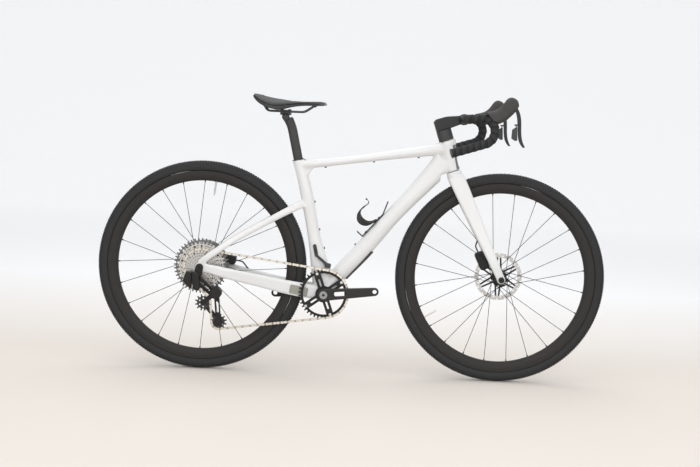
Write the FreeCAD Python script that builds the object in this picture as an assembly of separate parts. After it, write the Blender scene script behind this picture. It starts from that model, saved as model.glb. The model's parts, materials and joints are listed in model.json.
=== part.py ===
import FreeCAD, Part
import math
import os
from FreeCAD import Vector

# Layout in millimetres: X forwards, Y to the rider's left, Z up, origin on the ground mid-wheelbase.
WHEELBASE = 1000.0
TYRE_RADIUS = 351.0
CHAINSTAY_LENGTH = 420.0
BOTTOM_BRACKET_DROP = 75.0
HEAD_ANGLE = 71.0
FORK_LENGTH = 388.0
FORK_RAKE = 47.0
REAR_HUB_WIDTH = 142.0
FRONT_HUB_WIDTH = 100.0

# Fits and cutting allowances
RUNNING_FIT = 0.05
REST_GAP = 0.3
SMALL_GAP = 1.0
OVERRUN = 2.0
WALL = 2.5

# Frame tubes
HEAD_TUBE_LENGTH = 103.0
HEAD_TUBE_WIDTH = 52.0
HEAD_TUBE_DEPTH = 52.0
SEAT_TUBE_LENGTH = 454.0
SEAT_TUBE_ANGLE = 76.7
SEAT_TUBE_WIDTH = 37.0
SEAT_TUBE_DEPTH = 42.0
TOP_TUBE_WIDTH = 40.0
TOP_TUBE_DEPTH = 26.0
TOP_TUBE_DROP = 15.0
TOP_TUBE_HEAD_RISE = 80.0
DOWN_TUBE_WIDTH = 52.0
DOWN_TUBE_DEPTH = 56.0
DOWN_TUBE_HEAD_RISE = 45.0
CHAINSTAY_WIDTH = 14.0
CHAINSTAY_DEPTH = 36.0
SEATSTAY_WIDTH = 13.0
SEATSTAY_DEPTH = 22.0
SEATSTAY_DROP = 142.0
SEATSTAY_FOOT_RISE = 12.0
DROPOUT_RADIUS = 16.0
DROPOUT_THICKNESS = 8.0
SHELL_RADIUS = 28.0
SHELL_WIDTH = 86.0

# Each station: share of the run, bow, share of the width, share of the depth
HEAD_TUBE_STATION_SHARES = ((0.0, -0.02, 1.04, 0.9), (0.3, -0.02, 1.0, 0.9),
                            (0.7, 0.03, 0.96, 1.0), (1.0, 0.07, 0.94, 1.1))
SEAT_TUBE_STATION_SHARES = ((0.03, 0.0, 1.75, 1.5), (0.29, -0.007, 1.2, 1.25),
                            (0.44, -0.007, 1.0, 1.0), (0.65, -0.011, 1.0, 1.0),
                            (0.9, -0.007, 1.0, 0.94), (1.0, 0.0, 1.0, 0.98))
TOP_TUBE_STATION_SHARES = ((0.0, 0.0, 0.92, 1.3), (0.12, -0.006, 0.95, 1.12),
                           (0.3, -0.009, 1.0, 0.98), (0.68, -0.005, 1.05, 1.2),
                           (0.9, -0.002, 1.1, 1.5), (1.0, 0.0, 1.1, 1.75))
DOWN_TUBE_STATION_SHARES = ((0.0, 0.0, 1.4, 1.0), (0.2, 0.008, 1.15, 1.0), (0.33, 0.0065, 1.05, 1.02),
                            (0.54, 0.012, 1.0, 0.94), (0.73, 0.0105, 0.98, 1.03),
                            (0.86, 0.009, 0.96, 1.18), (0.97, 0.012, 0.94, 1.36))
# Each station: share of the run, bow, share of half the hub width, shares of width and depth
CHAINSTAY_STATION_SHARES = ((0.01, 0.0, 1.06, 0.9, 0.8), (0.12, 0.002, 1.05, 0.95, 0.9),
                            (0.22, -0.002, 1.0, 1.0, 1.0), (0.47, -0.01, 0.64, 1.1, 1.15),
                            (0.67, -0.014, 0.5, 1.0, 1.3), (0.79, -0.012, 0.455, 0.93, 1.36),
                            (0.88, -0.006, 0.43, 1.1, 1.36), (0.98, 0.0, 0.38, 1.5, 1.36))
SEATSTAY_STATION_SHARES = ((0.0, 0.0, 1.06, 0.9, 1.1), (0.1, 0.015, 1.05, 0.9, 1.0), (0.19, 0.022, 1.0, 0.92, 1.0),
                           (0.32, 0.028, 0.84, 1.0, 1.0), (0.66, 0.02, 0.48, 1.05, 1.05),
                           (0.86, 0.01, 0.36, 1.05, 1.15), (0.97, 0.0, 0.2, 1.2, 1.3))
TUBE_CORNER_SHARE = 0.82
STAY_CORNER_SHARE = 0.75

# Bosses for bottle cage, bags and chain guide
HEAD_WEB_REACH = 44.0
SEAT_WEB_REACH = 62.0
WEB_WIDTH = 26.0
BOSS_RADIUS = 5.5
BOSS_PROUD = 1.0
BOSS_HOLE_RADIUS = 2.5
BOSS_HOLE_DEPTH = 11.0
BOLT_HEAD_RADIUS = 4.0
BOLT_HEAD_HEIGHT = 2.6
BOLT_SOCKET_RADIUS = 1.9
BOLT_LENGTH = 9.0
SEAT_BOSS_SHARES = (0.675, 0.467, 0.325)
GUIDE_BOSS_SHARE = 0.33
LOW_BOSS_SHARE = 0.309
CAGE_BOSS_SHARES = (0.397, 0.501)
HIGH_BOSS_SHARE = 0.749
UNDER_BOSS_SHARES = (0.175, 0.502, 0.803)
TOP_BOSS_SHARES = (0.656, 0.784)

# Headset, spacers and stem
STEERER_RADIUS = 14.3
BEARING_HEIGHT = 8.0
UPPER_BEARING_RADIUS = 20.5
LOWER_BEARING_RADIUS = 22.0
BEARING_FACE_GAP = 1.5
SPACER_STACK = 36.0
SPACER_COUNT = 3
SPACER_WIDTH = 40.0
SPACER_BACK = 20.0
SPACER_FRONT = 30.0
STEM_HEIGHT = 41.0
STEM_LENGTH = 80.0
STEM_WIDTH = 42.0
STEM_BACK = 19.0
STEM_NOSE_DROP = 13.0
STEM_WAIST = 34.0
STEM_CAP_RADIUS = 12.0
STEM_CAP_HEIGHT = 3.0

# Handlebar
BAR_CLAMP_RADIUS = 15.9
BAR_CLAMP_WIDTH = 84.0
BAR_RADIUS = 12.0
BAR_WALL = 2.2
BAR_HALF_WIDTH = 186.0
BAR_REACH = 80.0
BAR_RAMP_RISE = 6.0
BAR_HOOD_SPREAD = 12.0
BAR_DROP = 72.0
BAR_DROP_SPREAD = 16.0
BAR_DROP_LEAN = 6.0
BAR_END_BACK = 136.0
BAR_END_DROP = 44.0
BAR_END_SPREAD = 14.0
BAR_CORNER_RADIUS = 34.0
BAR_HOOK_RADIUS = 40.0
BAR_DROP_RADIUS = 44.0
TAPE_RADIUS = 15.4
TAPE_START = 78.0
PLUG_FLANGE = 4.0
PLUG_DEPTH = 16.0

# Hoods, brake levers and shift paddles; stations are lower and upper points in shares of the hood
HOOD_LENGTH = 76.0
HOOD_RISE = 67.0
HOOD_WIDTH = 34.0
HOOD_STATION_SHARES = ((0.06, -0.3, -0.36, 0.27, 1.06), (0.32, -0.2, -0.02, 0.36, 1.0),
                       (0.55, -0.03, 0.2, 0.5, 0.96), (0.74, 0.17, 0.4, 0.78, 0.96),
                       (0.86, 0.32, 0.6, 1.0, 0.9), (0.94, 0.46, 0.8, 0.98, 0.8),
                       (1.0, 0.6, 0.94, 0.86, 0.6))
HOOD_CORNER_SHARE = 0.9
LEVER_LENGTH = 127.0
LEVER_DEPTH = 13.0
LEVER_WIDTH = 12.0
LEVER_PIVOT_FORWARD = 66.0
LEVER_PIVOT_RISE = 40.0
LEVER_PIN_RADIUS = 2.5
LEVER_LUG_RADIUS = 7.0
LEVER_FRONT_SHARES = ((0.04, -0.4), (0.2, -1.15), (0.42, -1.5), (0.62, -1.6), (0.8, -1.85), (1.0, -2.7))
LEVER_BACK_SHARES = ((1.02, -2.3), (0.84, -1.1), (0.62, -0.75), (0.42, -0.6), (0.2, -0.25), (0.06, 0.42))
PADDLE_HEIGHT = 46.0
PADDLE_DEPTH = 22.0
PADDLE_THICKNESS = 5.0
PADDLE_DROP = 62.0
PADDLE_LAG = 1.0
PADDLE_OUT = 2.8
PADDLE_PIN_RADIUS = 1.5
PADDLE_PIN_BACK = 3.0
PADDLE_PIN_DEPTH = 14.0
PADDLE_LUG_LENGTH = 12.0
PADDLE_LUG_HEIGHT = 5.0

# Fork
CROWN_WIDTH = 66.0
CROWN_DEPTH = 52.0
CROWN_HEIGHT = 34.0
FORK_LEG_WIDTH = 15.0
FORK_LEG_DEPTH = 52.0
FORK_LEG_TOP_SPREAD = 29.0
FORK_STATION_SHARES = ((0.0, 0.0, 1.05, 1.0), (0.16, 0.16, 0.95, 1.0), (0.35, 0.3, 1.0, 0.88),
                       (0.6, 0.62, 1.0, 0.72), (0.85, 0.97, 0.93, 0.58), (1.0, 1.0, 0.86, 0.52))
FORK_TIP_RADIUS = 14.0

# Wheels
TYRE_WIDTH = 40.0
TYRE_WALL = 3.2
BEAD_HEIGHT = 6.0
BEAD_THICKNESS = 3.0
RIM_EDGE_RADIUS = 317.2
RIM_DEPTH = 32.0
RIM_WIDTH = 30.0
RIM_FLANGE = 2.7
RIM_BED_DEPTH = 6.4
RIM_WALL = 2.0
RIM_NOSE_WIDTH = 13.0
SPOKE_COUNT = 24
SPOKE_RADIUS = 0.95
SPOKE_HEAD_RADIUS = 1.9
SPOKE_HEAD_LENGTH = 2.0
SPOKE_LEAD = 68.0
SPOKE_SIDE_STEP = 1.7
NIPPLE_RADIUS = 2.0
NIPPLE_OUT = 7.0
NIPPLE_IN = 2.5
LUG_RADIUS = 3.3
LUG_LENGTH = 8.0
FLANGE_PITCH_RADIUS = 24.0
FLANGE_RADIUS = 20.0
FLANGE_WIDTH = 9.0
HUB_WAIST_RADIUS = 12.0
HUB_CAP_RADIUS = 9.5
AXLE_RADIUS = 6.0
AXLE_HEAD_RADIUS = 10.0
AXLE_HEAD_LENGTH = 4.0
AXLE_SOCKET_RADIUS = 3.4
AXLE_SOCKET_DEPTH = 6.0
VALVE_RADIUS = 3.0
VALVE_TIP_RADIUS = 2.2
VALVE_NUT_RADIUS = 5.5
VALVE_NUT_HEIGHT = 3.0
VALVE_LENGTH = 40.0
VALVE_FOOT_RADIUS = 5.5
VALVE_FOOT_HEIGHT = 3.0
REAR_VALVE_ANGLE = 82.5
FRONT_VALVE_ANGLE = 210.0
FRONT_FLANGE_LEFT = 20.0
FRONT_FLANGE_RIGHT = -33.0
REAR_FLANGE_LEFT = 34.0
REAR_FLANGE_RIGHT = -15.0

# Disc brakes
ROTOR_RADIUS = 80.0
ROTOR_TRACK = 14.0
ROTOR_THICKNESS = 1.8
ROTOR_INSET = 10.5
ROTOR_HOLE_RADIUS = 2.6
ROTOR_HOLE_COUNT = 36
ROTOR_ARM_COUNT = 6
ROTOR_ARM_WIDTH = 6.0
ROTOR_ARM_LEAN = 26.0
ROTOR_CARRIER_RADIUS = 22.0
CALIPER_LENGTH = 62.0
CALIPER_HEIGHT = 32.0
CALIPER_WIDTH = 36.0
CALIPER_SLOT = 5.6
FRONT_CALIPER_TURN = 68.0
REAR_CALIPER_TURN = 66.0
PAD_LENGTH = 24.0
PAD_HEIGHT = 17.0
PAD_THICKNESS = 1.5
FRONT_CALIPER_ANGLE = 138.0
REAR_CALIPER_ANGLE = 14.0
HOSE_RADIUS = 2.5
HOSE_BEND_RADIUS = 14.0

# Bottom bracket and cranks
SPINDLE_RADIUS = 14.5
CUP_RADIUS = 23.0
CUP_FLANGE_RADIUS = 25.0
CUP_FLANGE = 2.5
CUP_DEPTH = 14.0
CRANK_LENGTH = 170.0
CRANK_ANGLE = 6.0
CRANK_INNER = 61.0
CRANK_THICKNESS = 14.0
CRANK_BOSS_RADIUS = 20.0
CRANK_END_RADIUS = 13.5
CRANK_WINDOW_START = 36.0
CRANK_WINDOW_LENGTH = 38.0
CRANK_WINDOW_WIDTH = 15.0
PEDAL_THREAD_RADIUS = 7.14
CAP_RADIUS = 13.0
CAP_THICKNESS = 3.0
CAP_HEX_RADIUS = 4.6
CHAIN_LINE = 45.0
RING_TEETH = 40
RING_THICKNESS = 1.7
RING_INNER_RADIUS = 69.0
SPIDER_THICKNESS = 5.0
SPIDER_ARM_WIDTH = 23.0
SPIDER_SLOT_WIDTH = 6.0
SPIDER_SLOT_START_SHARE = 0.55
SPIDER_ARM_ANGLES = (30.0, 104.0, 210.0, 284.0)
RING_BOLT_RADIUS = 4.6
RING_BOLT_CIRCLE_RADIUS = 71.5
RING_TAB_RADIUS = 9.0

# Chain and sprockets
CHAIN_PITCH = 12.7
ROLLER_RADIUS = 3.85
ROLLER_SEAT_GAP = 0.2
PIN_RADIUS = 1.8
CHAIN_INNER_WIDTH = 2.2
PLATE_THICKNESS = 0.7
PLATE_GAP = 0.06
PLATE_HEIGHT = 8.4
TOOTH_HEIGHT = 3.6
TOOTH_TIP_SHARE = 0.16
SEAT_OPENING_ANGLE = 66.0
COG_TEETH = (10, 11, 13, 15, 17, 19, 21, 24, 28, 32, 38, 44)
COG_IN_USE = 8
COG_THICKNESS = 1.6
COG_PITCH = 3.5
COG_RIM = 6.5
FIRST_COG_FROM_END = 5.0
COG_HOLE_RADIUS = 2.3
FREEHUB_RADIUS = 12.0
HUB_AXLE_RADIUS = 8.5
LOCKRING_RADIUS = 16.0
LOCKRING_WIDTH = 2.6

# Rear derailleur; places are given from the rear axle
PULLEY_TEETH = 12
PULLEY_THICKNESS = 2.0
PULLEY_BORE_RADIUS = 3.0
PULLEY_HUB_RADIUS = 7.0
CAGE_PIVOT_FORWARD = 55.0
CAGE_PIVOT_DROP = 84.0
GUIDE_ARM = 58.0
GUIDE_ARM_ANGLE = 218.0
TENSION_ARM = 102.0
TENSION_ARM_ANGLE = 272.0
CAGE_THICKNESS = 2.0
CAGE_INNER_GAP = 4.2
CAGE_OUTER_GAP = 4.0
CAGE_BAND_RADIUS = 10.0
CAGE_TAIL_RADIUS = 15.0
CAGE_TURN_LIMIT = 12.0
CAGE_TURN_STEPS = 60
KNUCKLE_RADIUS = 20.0
KNUCKLE_OUTER = 80.0
KNUCKLE_INNER = 45.0
KNUCKLE_DROP = 36.0
HANGER_THICKNESS = 5.0
LINK_DEPTH = 20.0
BODY_WIDTH = 24.0
BODY_LENGTH = 42.0
BATTERY_WIDTH = 24.0

# Seatpost and saddle
POST_ANGLE = 76.7
POST_WIDTH = 22.0
POST_DEPTH = 31.0
POST_INSERT = 92.0
POST_EXPOSED = 148.3
POST_POCKET = 136.0
POST_SETBACK = 14.0
POST_CORNER_SHARE = 0.9
POST_TRAVEL_GAP = 0.25
BARREL_RADIUS = 12.0
BARREL_WIDTH = 34.0
WEDGE_WIDTH = 18.0
WEDGE_DEPTH = 9.0
WEDGE_HEIGHT = 20.0
COVER_THICKNESS = 2.4
RAIL_RADIUS = 3.5
RAIL_SPACING = 44.0
RAIL_RISE = 18.0
RAIL_BACK = 60.0
RAIL_FRONT = 62.0
RAIL_NOSE_FRONT = 102.0
RAIL_NOSE_RISE = 27.0
RAIL_NOSE_SPACING = 20.0
RAIL_TAIL_BACK = 88.0
RAIL_TAIL_RISE = 43.0
RAIL_BEND_RADIUS = 16.0
CLAMP_LENGTH = 34.0
CLAMP_WALL = 5.0
CLAMP_BOLT_RADIUS = 2.5
SADDLE_LENGTH = 244.0
SADDLE_WIDTH = 143.0
SADDLE_DEPTH = 40.0
SADDLE_BACK = 108.5
SADDLE_RISE = 56.0
SADDLE_PAD_THICKNESS = 15.0
SADDLE_SHELL_THICKNESS = 3.0
# Each station: share of the length, half width share, crown rise share, edge drop share, thickness share
SADDLE_STATION_SHARES = ((0.0, 0.5, 0.46, 0.08, 0.4), (0.05, 0.78, 0.42, 0.28, 0.7),
                         (0.16, 0.96, 0.24, 0.46, 0.85), (0.3, 0.95, 0.08, 0.5, 0.9),
                         (0.45, 0.66, 0.0, 0.32, 0.78), (0.6, 0.42, -0.02, 0.16, 0.66),
                         (0.8, 0.3, 0.0, 0.12, 0.62), (0.94, 0.26, -0.01, 0.1, 0.56),
                         (1.0, 0.15, -0.08, 0.05, 0.36))
SADDLE_TUCK_SHARE = 0.97
SADDLE_PARTING_SHARE = 1.03
SADDLE_ARCH_SHARES = ((1.0, 1.0), (0.9, 0.52), (0.6, 0.12), (0.25, -0.02), (0.0, 0.0))

# Bottle cage and other fittings on the frame
BOTTLE_RADIUS = 37.0
CAGE_STRIP_WIDTH = 13.0
CAGE_STRIP_THICKNESS = 3.0
CAGE_SPINE_LENGTH = 104.0
CAGE_SPINE_WIDTH = 22.0
CAGE_FOOT_LENGTH = 26.0
# Each wing section: angle round the bottle, share of the spine's length, share of the strip's width
CAGE_WING_SHARES = ((8.0, 0.68, 0.9), (40.0, 0.54, 1.0), (70.0, 0.38, 1.3), (96.0, 0.36, 1.45),
                    (132.0, 0.58, 0.9), (168.0, 0.98, 0.35))
GUARD_LENGTH = 126.0
GUARD_WIDTH = 40.0
GUARD_THICKNESS = 4.0
GUARD_START = 86.0
PLATE_LENGTH = 62.0
STAY_PLATE_THICKNESS = 1.2
STAY_PLATE_HEIGHT = 30.0
STAY_PLATE_DROP = 8.0
STAY_PLATE_SHARE = 0.8
GUIDE_ARM_WIDTH = 12.0
GUIDE_ARM_THICKNESS = 4.0
GUIDE_SHOE_LENGTH = 20.0
GUIDE_SHOE_HEIGHT = 16.0
GUIDE_SHOE_WIDTH = 12.0
GUIDE_SHOE_ANGLE = 84.0
GUIDE_SHOE_CLEARANCE = 3.0

SIDE = Vector(0, 1, 0)
REAR_AXLE = Vector(-WHEELBASE / 2, 0, TYRE_RADIUS)
FRONT_AXLE = Vector(WHEELBASE / 2, 0, TYRE_RADIUS)
BOTTOM_BRACKET = REAR_AXLE + Vector(math.sqrt(CHAINSTAY_LENGTH ** 2 - BOTTOM_BRACKET_DROP ** 2),
                                    0, -BOTTOM_BRACKET_DROP)


def heading(angle):
    """Direction in the side plane, in degrees above forwards."""
    return Vector(math.cos(math.radians(angle)), 0, math.sin(math.radians(angle)))


def quarter(way):
    """The direction a quarter turn on from way in the side plane."""
    return Vector(-way.z, 0, way.x)


STEER_UP = heading(180 - HEAD_ANGLE)
STEER_FRONT = heading(90 - HEAD_ANGLE)
CROWN = FRONT_AXLE - STEER_FRONT * FORK_RAKE + STEER_UP * FORK_LENGTH
SEAT_WAY = heading(180 - SEAT_TUBE_ANGLE)
SEAT_TOP = BOTTOM_BRACKET + SEAT_WAY * SEAT_TUBE_LENGTH
POST_WAY = heading(180 - POST_ANGLE)
POST_FRONT = SIDE.cross(POST_WAY)


def steer_point(front, rise, side=0):
    """Point given along and across the steering axis."""
    return CROWN + STEER_FRONT * front + STEER_UP * rise + SIDE * side


def rod(start, end, radius):
    return Part.makeCylinder(radius, (end - start).Length, start, end - start)


def side_rod(centre, left, right, radius):
    """Cylinder across the bike between two side offsets."""
    return rod(centre + SIDE * right, centre + SIDE * left, radius)


def mirrored(shape):
    return shape.mirror(Vector(0, 0, 0), SIDE)


def both(shape):
    return [shape, mirrored(shape)]


def fused(shapes):
    return shapes[0].multiFuse(shapes[1:]).removeSplitter()


def cut(shape, tools):
    for tool in tools:
        shape = shape.cut(tool)
    return shape


def polygon(points):
    return Part.makePolygon(list(points) + [points[0]])


def loop(start, steps):
    """Closed wire; a step is a point, or a pair of a middle and an end for an arc."""
    edges = []
    here = start
    for step in steps:
        if isinstance(step, tuple):
            edges.append(Part.Arc(here, step[0], step[1]).toShape())
            here = step[1]
        else:
            edges.append(Part.LineSegment(here, step).toShape())
            here = step
    if (here - start).Length > RUNNING_FIT:
        edges.append(Part.LineSegment(here, start).toShape())
    return Part.Wire(edges)


def slab(wires, left, right):
    """Plate between two side offsets from wires drawn in the side plane."""
    face = Part.Face(wires)
    face.translate(SIDE * right)
    return face.extrude(SIDE * (left - right))


def revolved(profile, axle):
    """Solid turned about the side axis from points of side offset and radius."""
    points = [axle + Vector(0, side, radius) for side, radius in profile]
    return Part.Face(polygon(points)).revolve(axle, SIDE, 360)


def rounded_loop(centre, across, upward, width, depth, corner_share):
    """Rounded rectangle about a centre."""
    half_width = width / 2
    half_depth = depth / 2
    radius = corner_share * min(half_width, half_depth)
    inner_width = half_width - radius
    inner_depth = half_depth - radius
    bulge = radius * math.sqrt(0.5)

    def place(u, v):
        return centre + across * u + upward * v

    start = place(half_width, -inner_depth)
    steps = []
    for east, north in ((1, 1), (-1, 1), (-1, -1), (1, -1)):
        middle = place(east * (inner_width + bulge), north * (inner_depth + bulge))
        upright = place(east * half_width, north * inner_depth)
        level = place(east * inner_width, north * half_depth)
        first, last = (upright, level) if east * north > 0 else (level, upright)
        steps += [first, (middle, last)]
    return loop(start, steps)


def shaped_tube(start, end, width, depth, station_shares, corner_share):
    """Tube lofted through rounded sections at shares of its run."""
    run = end - start
    way = Vector(run).normalize()
    upward = quarter(way)
    wires = []
    for along, bow, wide, deep in station_shares:
        centre = start + run * along + upward * (bow * run.Length)
        wires.append(rounded_loop(centre, SIDE, upward, width * wide, depth * deep, corner_share))
    return Part.makeLoft(wires, True, False)


def stay(start, end, width, depth, station_shares):
    """Right-hand stay; its stations also carry a share of half the hub width."""
    run = end - start
    upward = quarter(Vector(run).normalize())
    wires = []
    for along, bow, spread, wide, deep in station_shares:
        centre = start + run * along + upward * (bow * run.Length) - SIDE * (spread * REAR_HUB_WIDTH / 2)
        wires.append(rounded_loop(centre, SIDE, upward, width * wide, depth * deep, STAY_CORNER_SHARE))
    return Part.makeLoft(wires, True, False)


def rounded_path(points, radii):
    """Wire of straight runs joined by tangent arcs of the given radii."""
    edges = []
    here = points[0]
    for before, corner, after, radius in zip(points, points[1:], points[2:], radii):
        back = Vector(before - corner).normalize()
        ahead = Vector(after - corner).normalize()
        half = back.getAngle(ahead) / 2
        reach = radius / math.tan(half)
        bisector = Vector(back + ahead).normalize()
        middle = corner + bisector * (radius / math.sin(half) - radius)
        edges.append(Part.LineSegment(here, corner + back * reach).toShape())
        edges.append(Part.Arc(corner + back * reach, middle, corner + ahead * reach).toShape())
        here = corner + ahead * reach
    edges.append(Part.LineSegment(here, points[-1]).toShape())
    return Part.Wire(edges)


def pipe(points, radii, radius):
    """Round bar along a path of straight runs and arcs."""
    path = rounded_path(points, radii)
    ring = Part.Wire(Part.makeCircle(radius, points[0], points[1] - points[0]))
    sweep = Part.BRepOffsetAPI.MakePipeShell(path)
    sweep.add(ring)
    sweep.build()
    sweep.makeSolid()
    return sweep.shape()


def surface_point(solid, inside, way, reach):
    """Where a line from inside the solid leaves it for the first time."""
    inner = Part.makeLine(inside, inside + way * reach).common(solid)
    ends = sorted((vertex.Point - inside).Length for vertex in inner.Edges[0].Vertexes)
    return inside + way * ends[-1]


def save(name, shapes):
    """Write one node's solids as one file."""
    solids = []
    for shape in shapes if isinstance(shapes, list) else [shapes]:
        solids += shape.Solids
    target = solids[0] if len(solids) == 1 else Part.makeCompound(solids)
    target.exportStep("parts/" + name + ".step")


def head_tube():
    start = steer_point(0, SMALL_GAP)
    wires = []
    for along, bow, wide, deep in HEAD_TUBE_STATION_SHARES:
        centre = start + STEER_UP * (along * HEAD_TUBE_LENGTH) + STEER_FRONT * (bow * HEAD_TUBE_LENGTH)
        wires.append(rounded_loop(centre, SIDE, STEER_FRONT, HEAD_TUBE_WIDTH * wide,
                                  HEAD_TUBE_DEPTH * deep, TUBE_CORNER_SHARE))
    return Part.makeLoft(wires, True, False)


def seat_tube():
    return shaped_tube(BOTTOM_BRACKET, SEAT_TOP, SEAT_TUBE_WIDTH, SEAT_TUBE_DEPTH,
                       SEAT_TUBE_STATION_SHARES, TUBE_CORNER_SHARE)


TOP_TUBE_BACK = SEAT_TOP - SEAT_WAY * TOP_TUBE_DROP
TOP_TUBE_FRONT = steer_point(0, TOP_TUBE_HEAD_RISE)
TOP_TUBE_WAY = Vector(TOP_TUBE_FRONT - TOP_TUBE_BACK).normalize()
TOP_TUBE_UP = quarter(TOP_TUBE_WAY)
DOWN_TUBE_FRONT = steer_point(0, DOWN_TUBE_HEAD_RISE)
DOWN_TUBE_RUN = DOWN_TUBE_FRONT - BOTTOM_BRACKET
DOWN_TUBE_WAY = Vector(DOWN_TUBE_RUN).normalize()
DOWN_TUBE_UP = quarter(DOWN_TUBE_WAY)
SEAT_FRONT = SIDE.cross(SEAT_WAY)


def top_tube():
    return shaped_tube(TOP_TUBE_BACK, TOP_TUBE_FRONT, TOP_TUBE_WIDTH, TOP_TUBE_DEPTH,
                       TOP_TUBE_STATION_SHARES, TUBE_CORNER_SHARE)


def down_tube():
    return shaped_tube(BOTTOM_BRACKET, DOWN_TUBE_FRONT, DOWN_TUBE_WIDTH, DOWN_TUBE_DEPTH,
                       DOWN_TUBE_STATION_SHARES, TUBE_CORNER_SHARE)


def chainstay():
    return stay(REAR_AXLE, BOTTOM_BRACKET, CHAINSTAY_WIDTH, CHAINSTAY_DEPTH, CHAINSTAY_STATION_SHARES)


def seatstay():
    foot = REAR_AXLE + Vector(0, 0, SEATSTAY_FOOT_RISE)
    return stay(foot, SEAT_TOP - SEAT_WAY * SEATSTAY_DROP, SEATSTAY_WIDTH, SEATSTAY_DEPTH,
                SEATSTAY_STATION_SHARES)


def dropout():
    inner = -REAR_HUB_WIDTH / 2
    return side_rod(REAR_AXLE, inner, inner - DROPOUT_THICKNESS, DROPOUT_RADIUS)


def boss_places(tubes):
    """Surface point and outward direction of every threaded boss, by group."""
    reach = SEAT_TUBE_LENGTH
    seat = [surface_point(tubes["seat"], BOTTOM_BRACKET + SEAT_WAY * (SEAT_TUBE_LENGTH * share),
                          SEAT_FRONT, reach) for share in SEAT_BOSS_SHARES]
    guide = surface_point(tubes["seat"], BOTTOM_BRACKET + SEAT_WAY * (SEAT_TUBE_LENGTH * GUIDE_BOSS_SHARE),
                          -SIDE, reach)
    down = {}
    for name, shares in (("low", (LOW_BOSS_SHARE,)), ("cage", CAGE_BOSS_SHARES), ("high", (HIGH_BOSS_SHARE,))):
        down[name] = [surface_point(tubes["down"], BOTTOM_BRACKET + DOWN_TUBE_RUN * share, DOWN_TUBE_UP, reach)
                      for share in shares]
    run = TOP_TUBE_FRONT - TOP_TUBE_BACK
    under = [surface_point(tubes["top"], TOP_TUBE_BACK + run * share, -TOP_TUBE_UP, reach)
             for share in UNDER_BOSS_SHARES]
    above = [surface_point(tubes["top"], TOP_TUBE_BACK + run * share, TOP_TUBE_UP, reach)
             for share in TOP_BOSS_SHARES]
    return {"seat": [(point, SEAT_FRONT) for point in seat],
            "guide": [(guide, -SIDE)],
            "low": [(point, DOWN_TUBE_UP) for point in down["low"]],
            "cage": [(point, DOWN_TUBE_UP) for point in down["cage"]],
            "high": [(point, DOWN_TUBE_UP) for point in down["high"]],
            "under": [(point, -TOP_TUBE_UP) for point in under],
            "above": [(point, TOP_TUBE_UP) for point in above]}


def bolt(seat, way):
    """Button-head screw whose head sits on seat."""
    head = rod(seat, seat + way * BOLT_HEAD_HEIGHT, BOLT_HEAD_RADIUS)
    shank = rod(seat - way * BOLT_LENGTH, seat, BOSS_HOLE_RADIUS - RUNNING_FIT)
    socket = rod(seat + way * (BOLT_HEAD_HEIGHT / 3), seat + way * (BOLT_HEAD_HEIGHT + OVERRUN),
                 BOLT_SOCKET_RADIUS)
    edge = [e for e in head.Edges if (e.BoundBox.Center - seat).dot(way) > BOLT_HEAD_HEIGHT / 2]
    head = head.makeFillet(BOLT_HEAD_HEIGHT / 3, edge[:1])
    return head.fuse(shank).cut(socket).removeSplitter()


def post_foot():
    """Middle of the post's mouth in the frame."""
    return SEAT_TOP


def post_pocket():
    mouth = post_foot() + POST_WAY * (SEAT_TUBE_DEPTH / 2)
    floor = post_foot() - POST_WAY * POST_POCKET
    grow = 2 * POST_TRAVEL_GAP
    return shaped_tube(floor, mouth, POST_WIDTH + grow, POST_DEPTH + grow,
                       ((0.0, 0.0, 1.0, 1.0), (1.0, 0.0, 1.0, 1.0)), POST_CORNER_SHARE)


def wedge_slot():
    """Pocket for the clamp wedge in front of the seatpost."""
    centre = post_foot() + POST_FRONT * (POST_DEPTH / 2 + WEDGE_DEPTH / 2 - OVERRUN + SMALL_GAP)
    return shaped_tube(centre - POST_WAY * (WEDGE_HEIGHT + SMALL_GAP), centre + POST_WAY * SEAT_TUBE_DEPTH,
                       WEDGE_WIDTH + 2 * REST_GAP, WEDGE_DEPTH + 2 * OVERRUN,
                       ((0.0, 0.0, 1.0, 1.0), (1.0, 0.0, 1.0, 1.0)), 0.3)


def frame_webs():
    """Gussets in the sharp corners behind the head tube and ahead of the seat tube."""
    behind = polygon([TOP_TUBE_FRONT, TOP_TUBE_FRONT - TOP_TUBE_WAY * HEAD_WEB_REACH,
                      DOWN_TUBE_FRONT - DOWN_TUBE_WAY * HEAD_WEB_REACH, DOWN_TUBE_FRONT])
    ahead = polygon([TOP_TUBE_BACK, TOP_TUBE_BACK + TOP_TUBE_WAY * SEAT_WEB_REACH,
                     TOP_TUBE_BACK - SEAT_WAY * SEAT_WEB_REACH])
    return [slab(outline, WEB_WIDTH / 2, -WEB_WIDTH / 2) for outline in (behind, ahead)]


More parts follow.
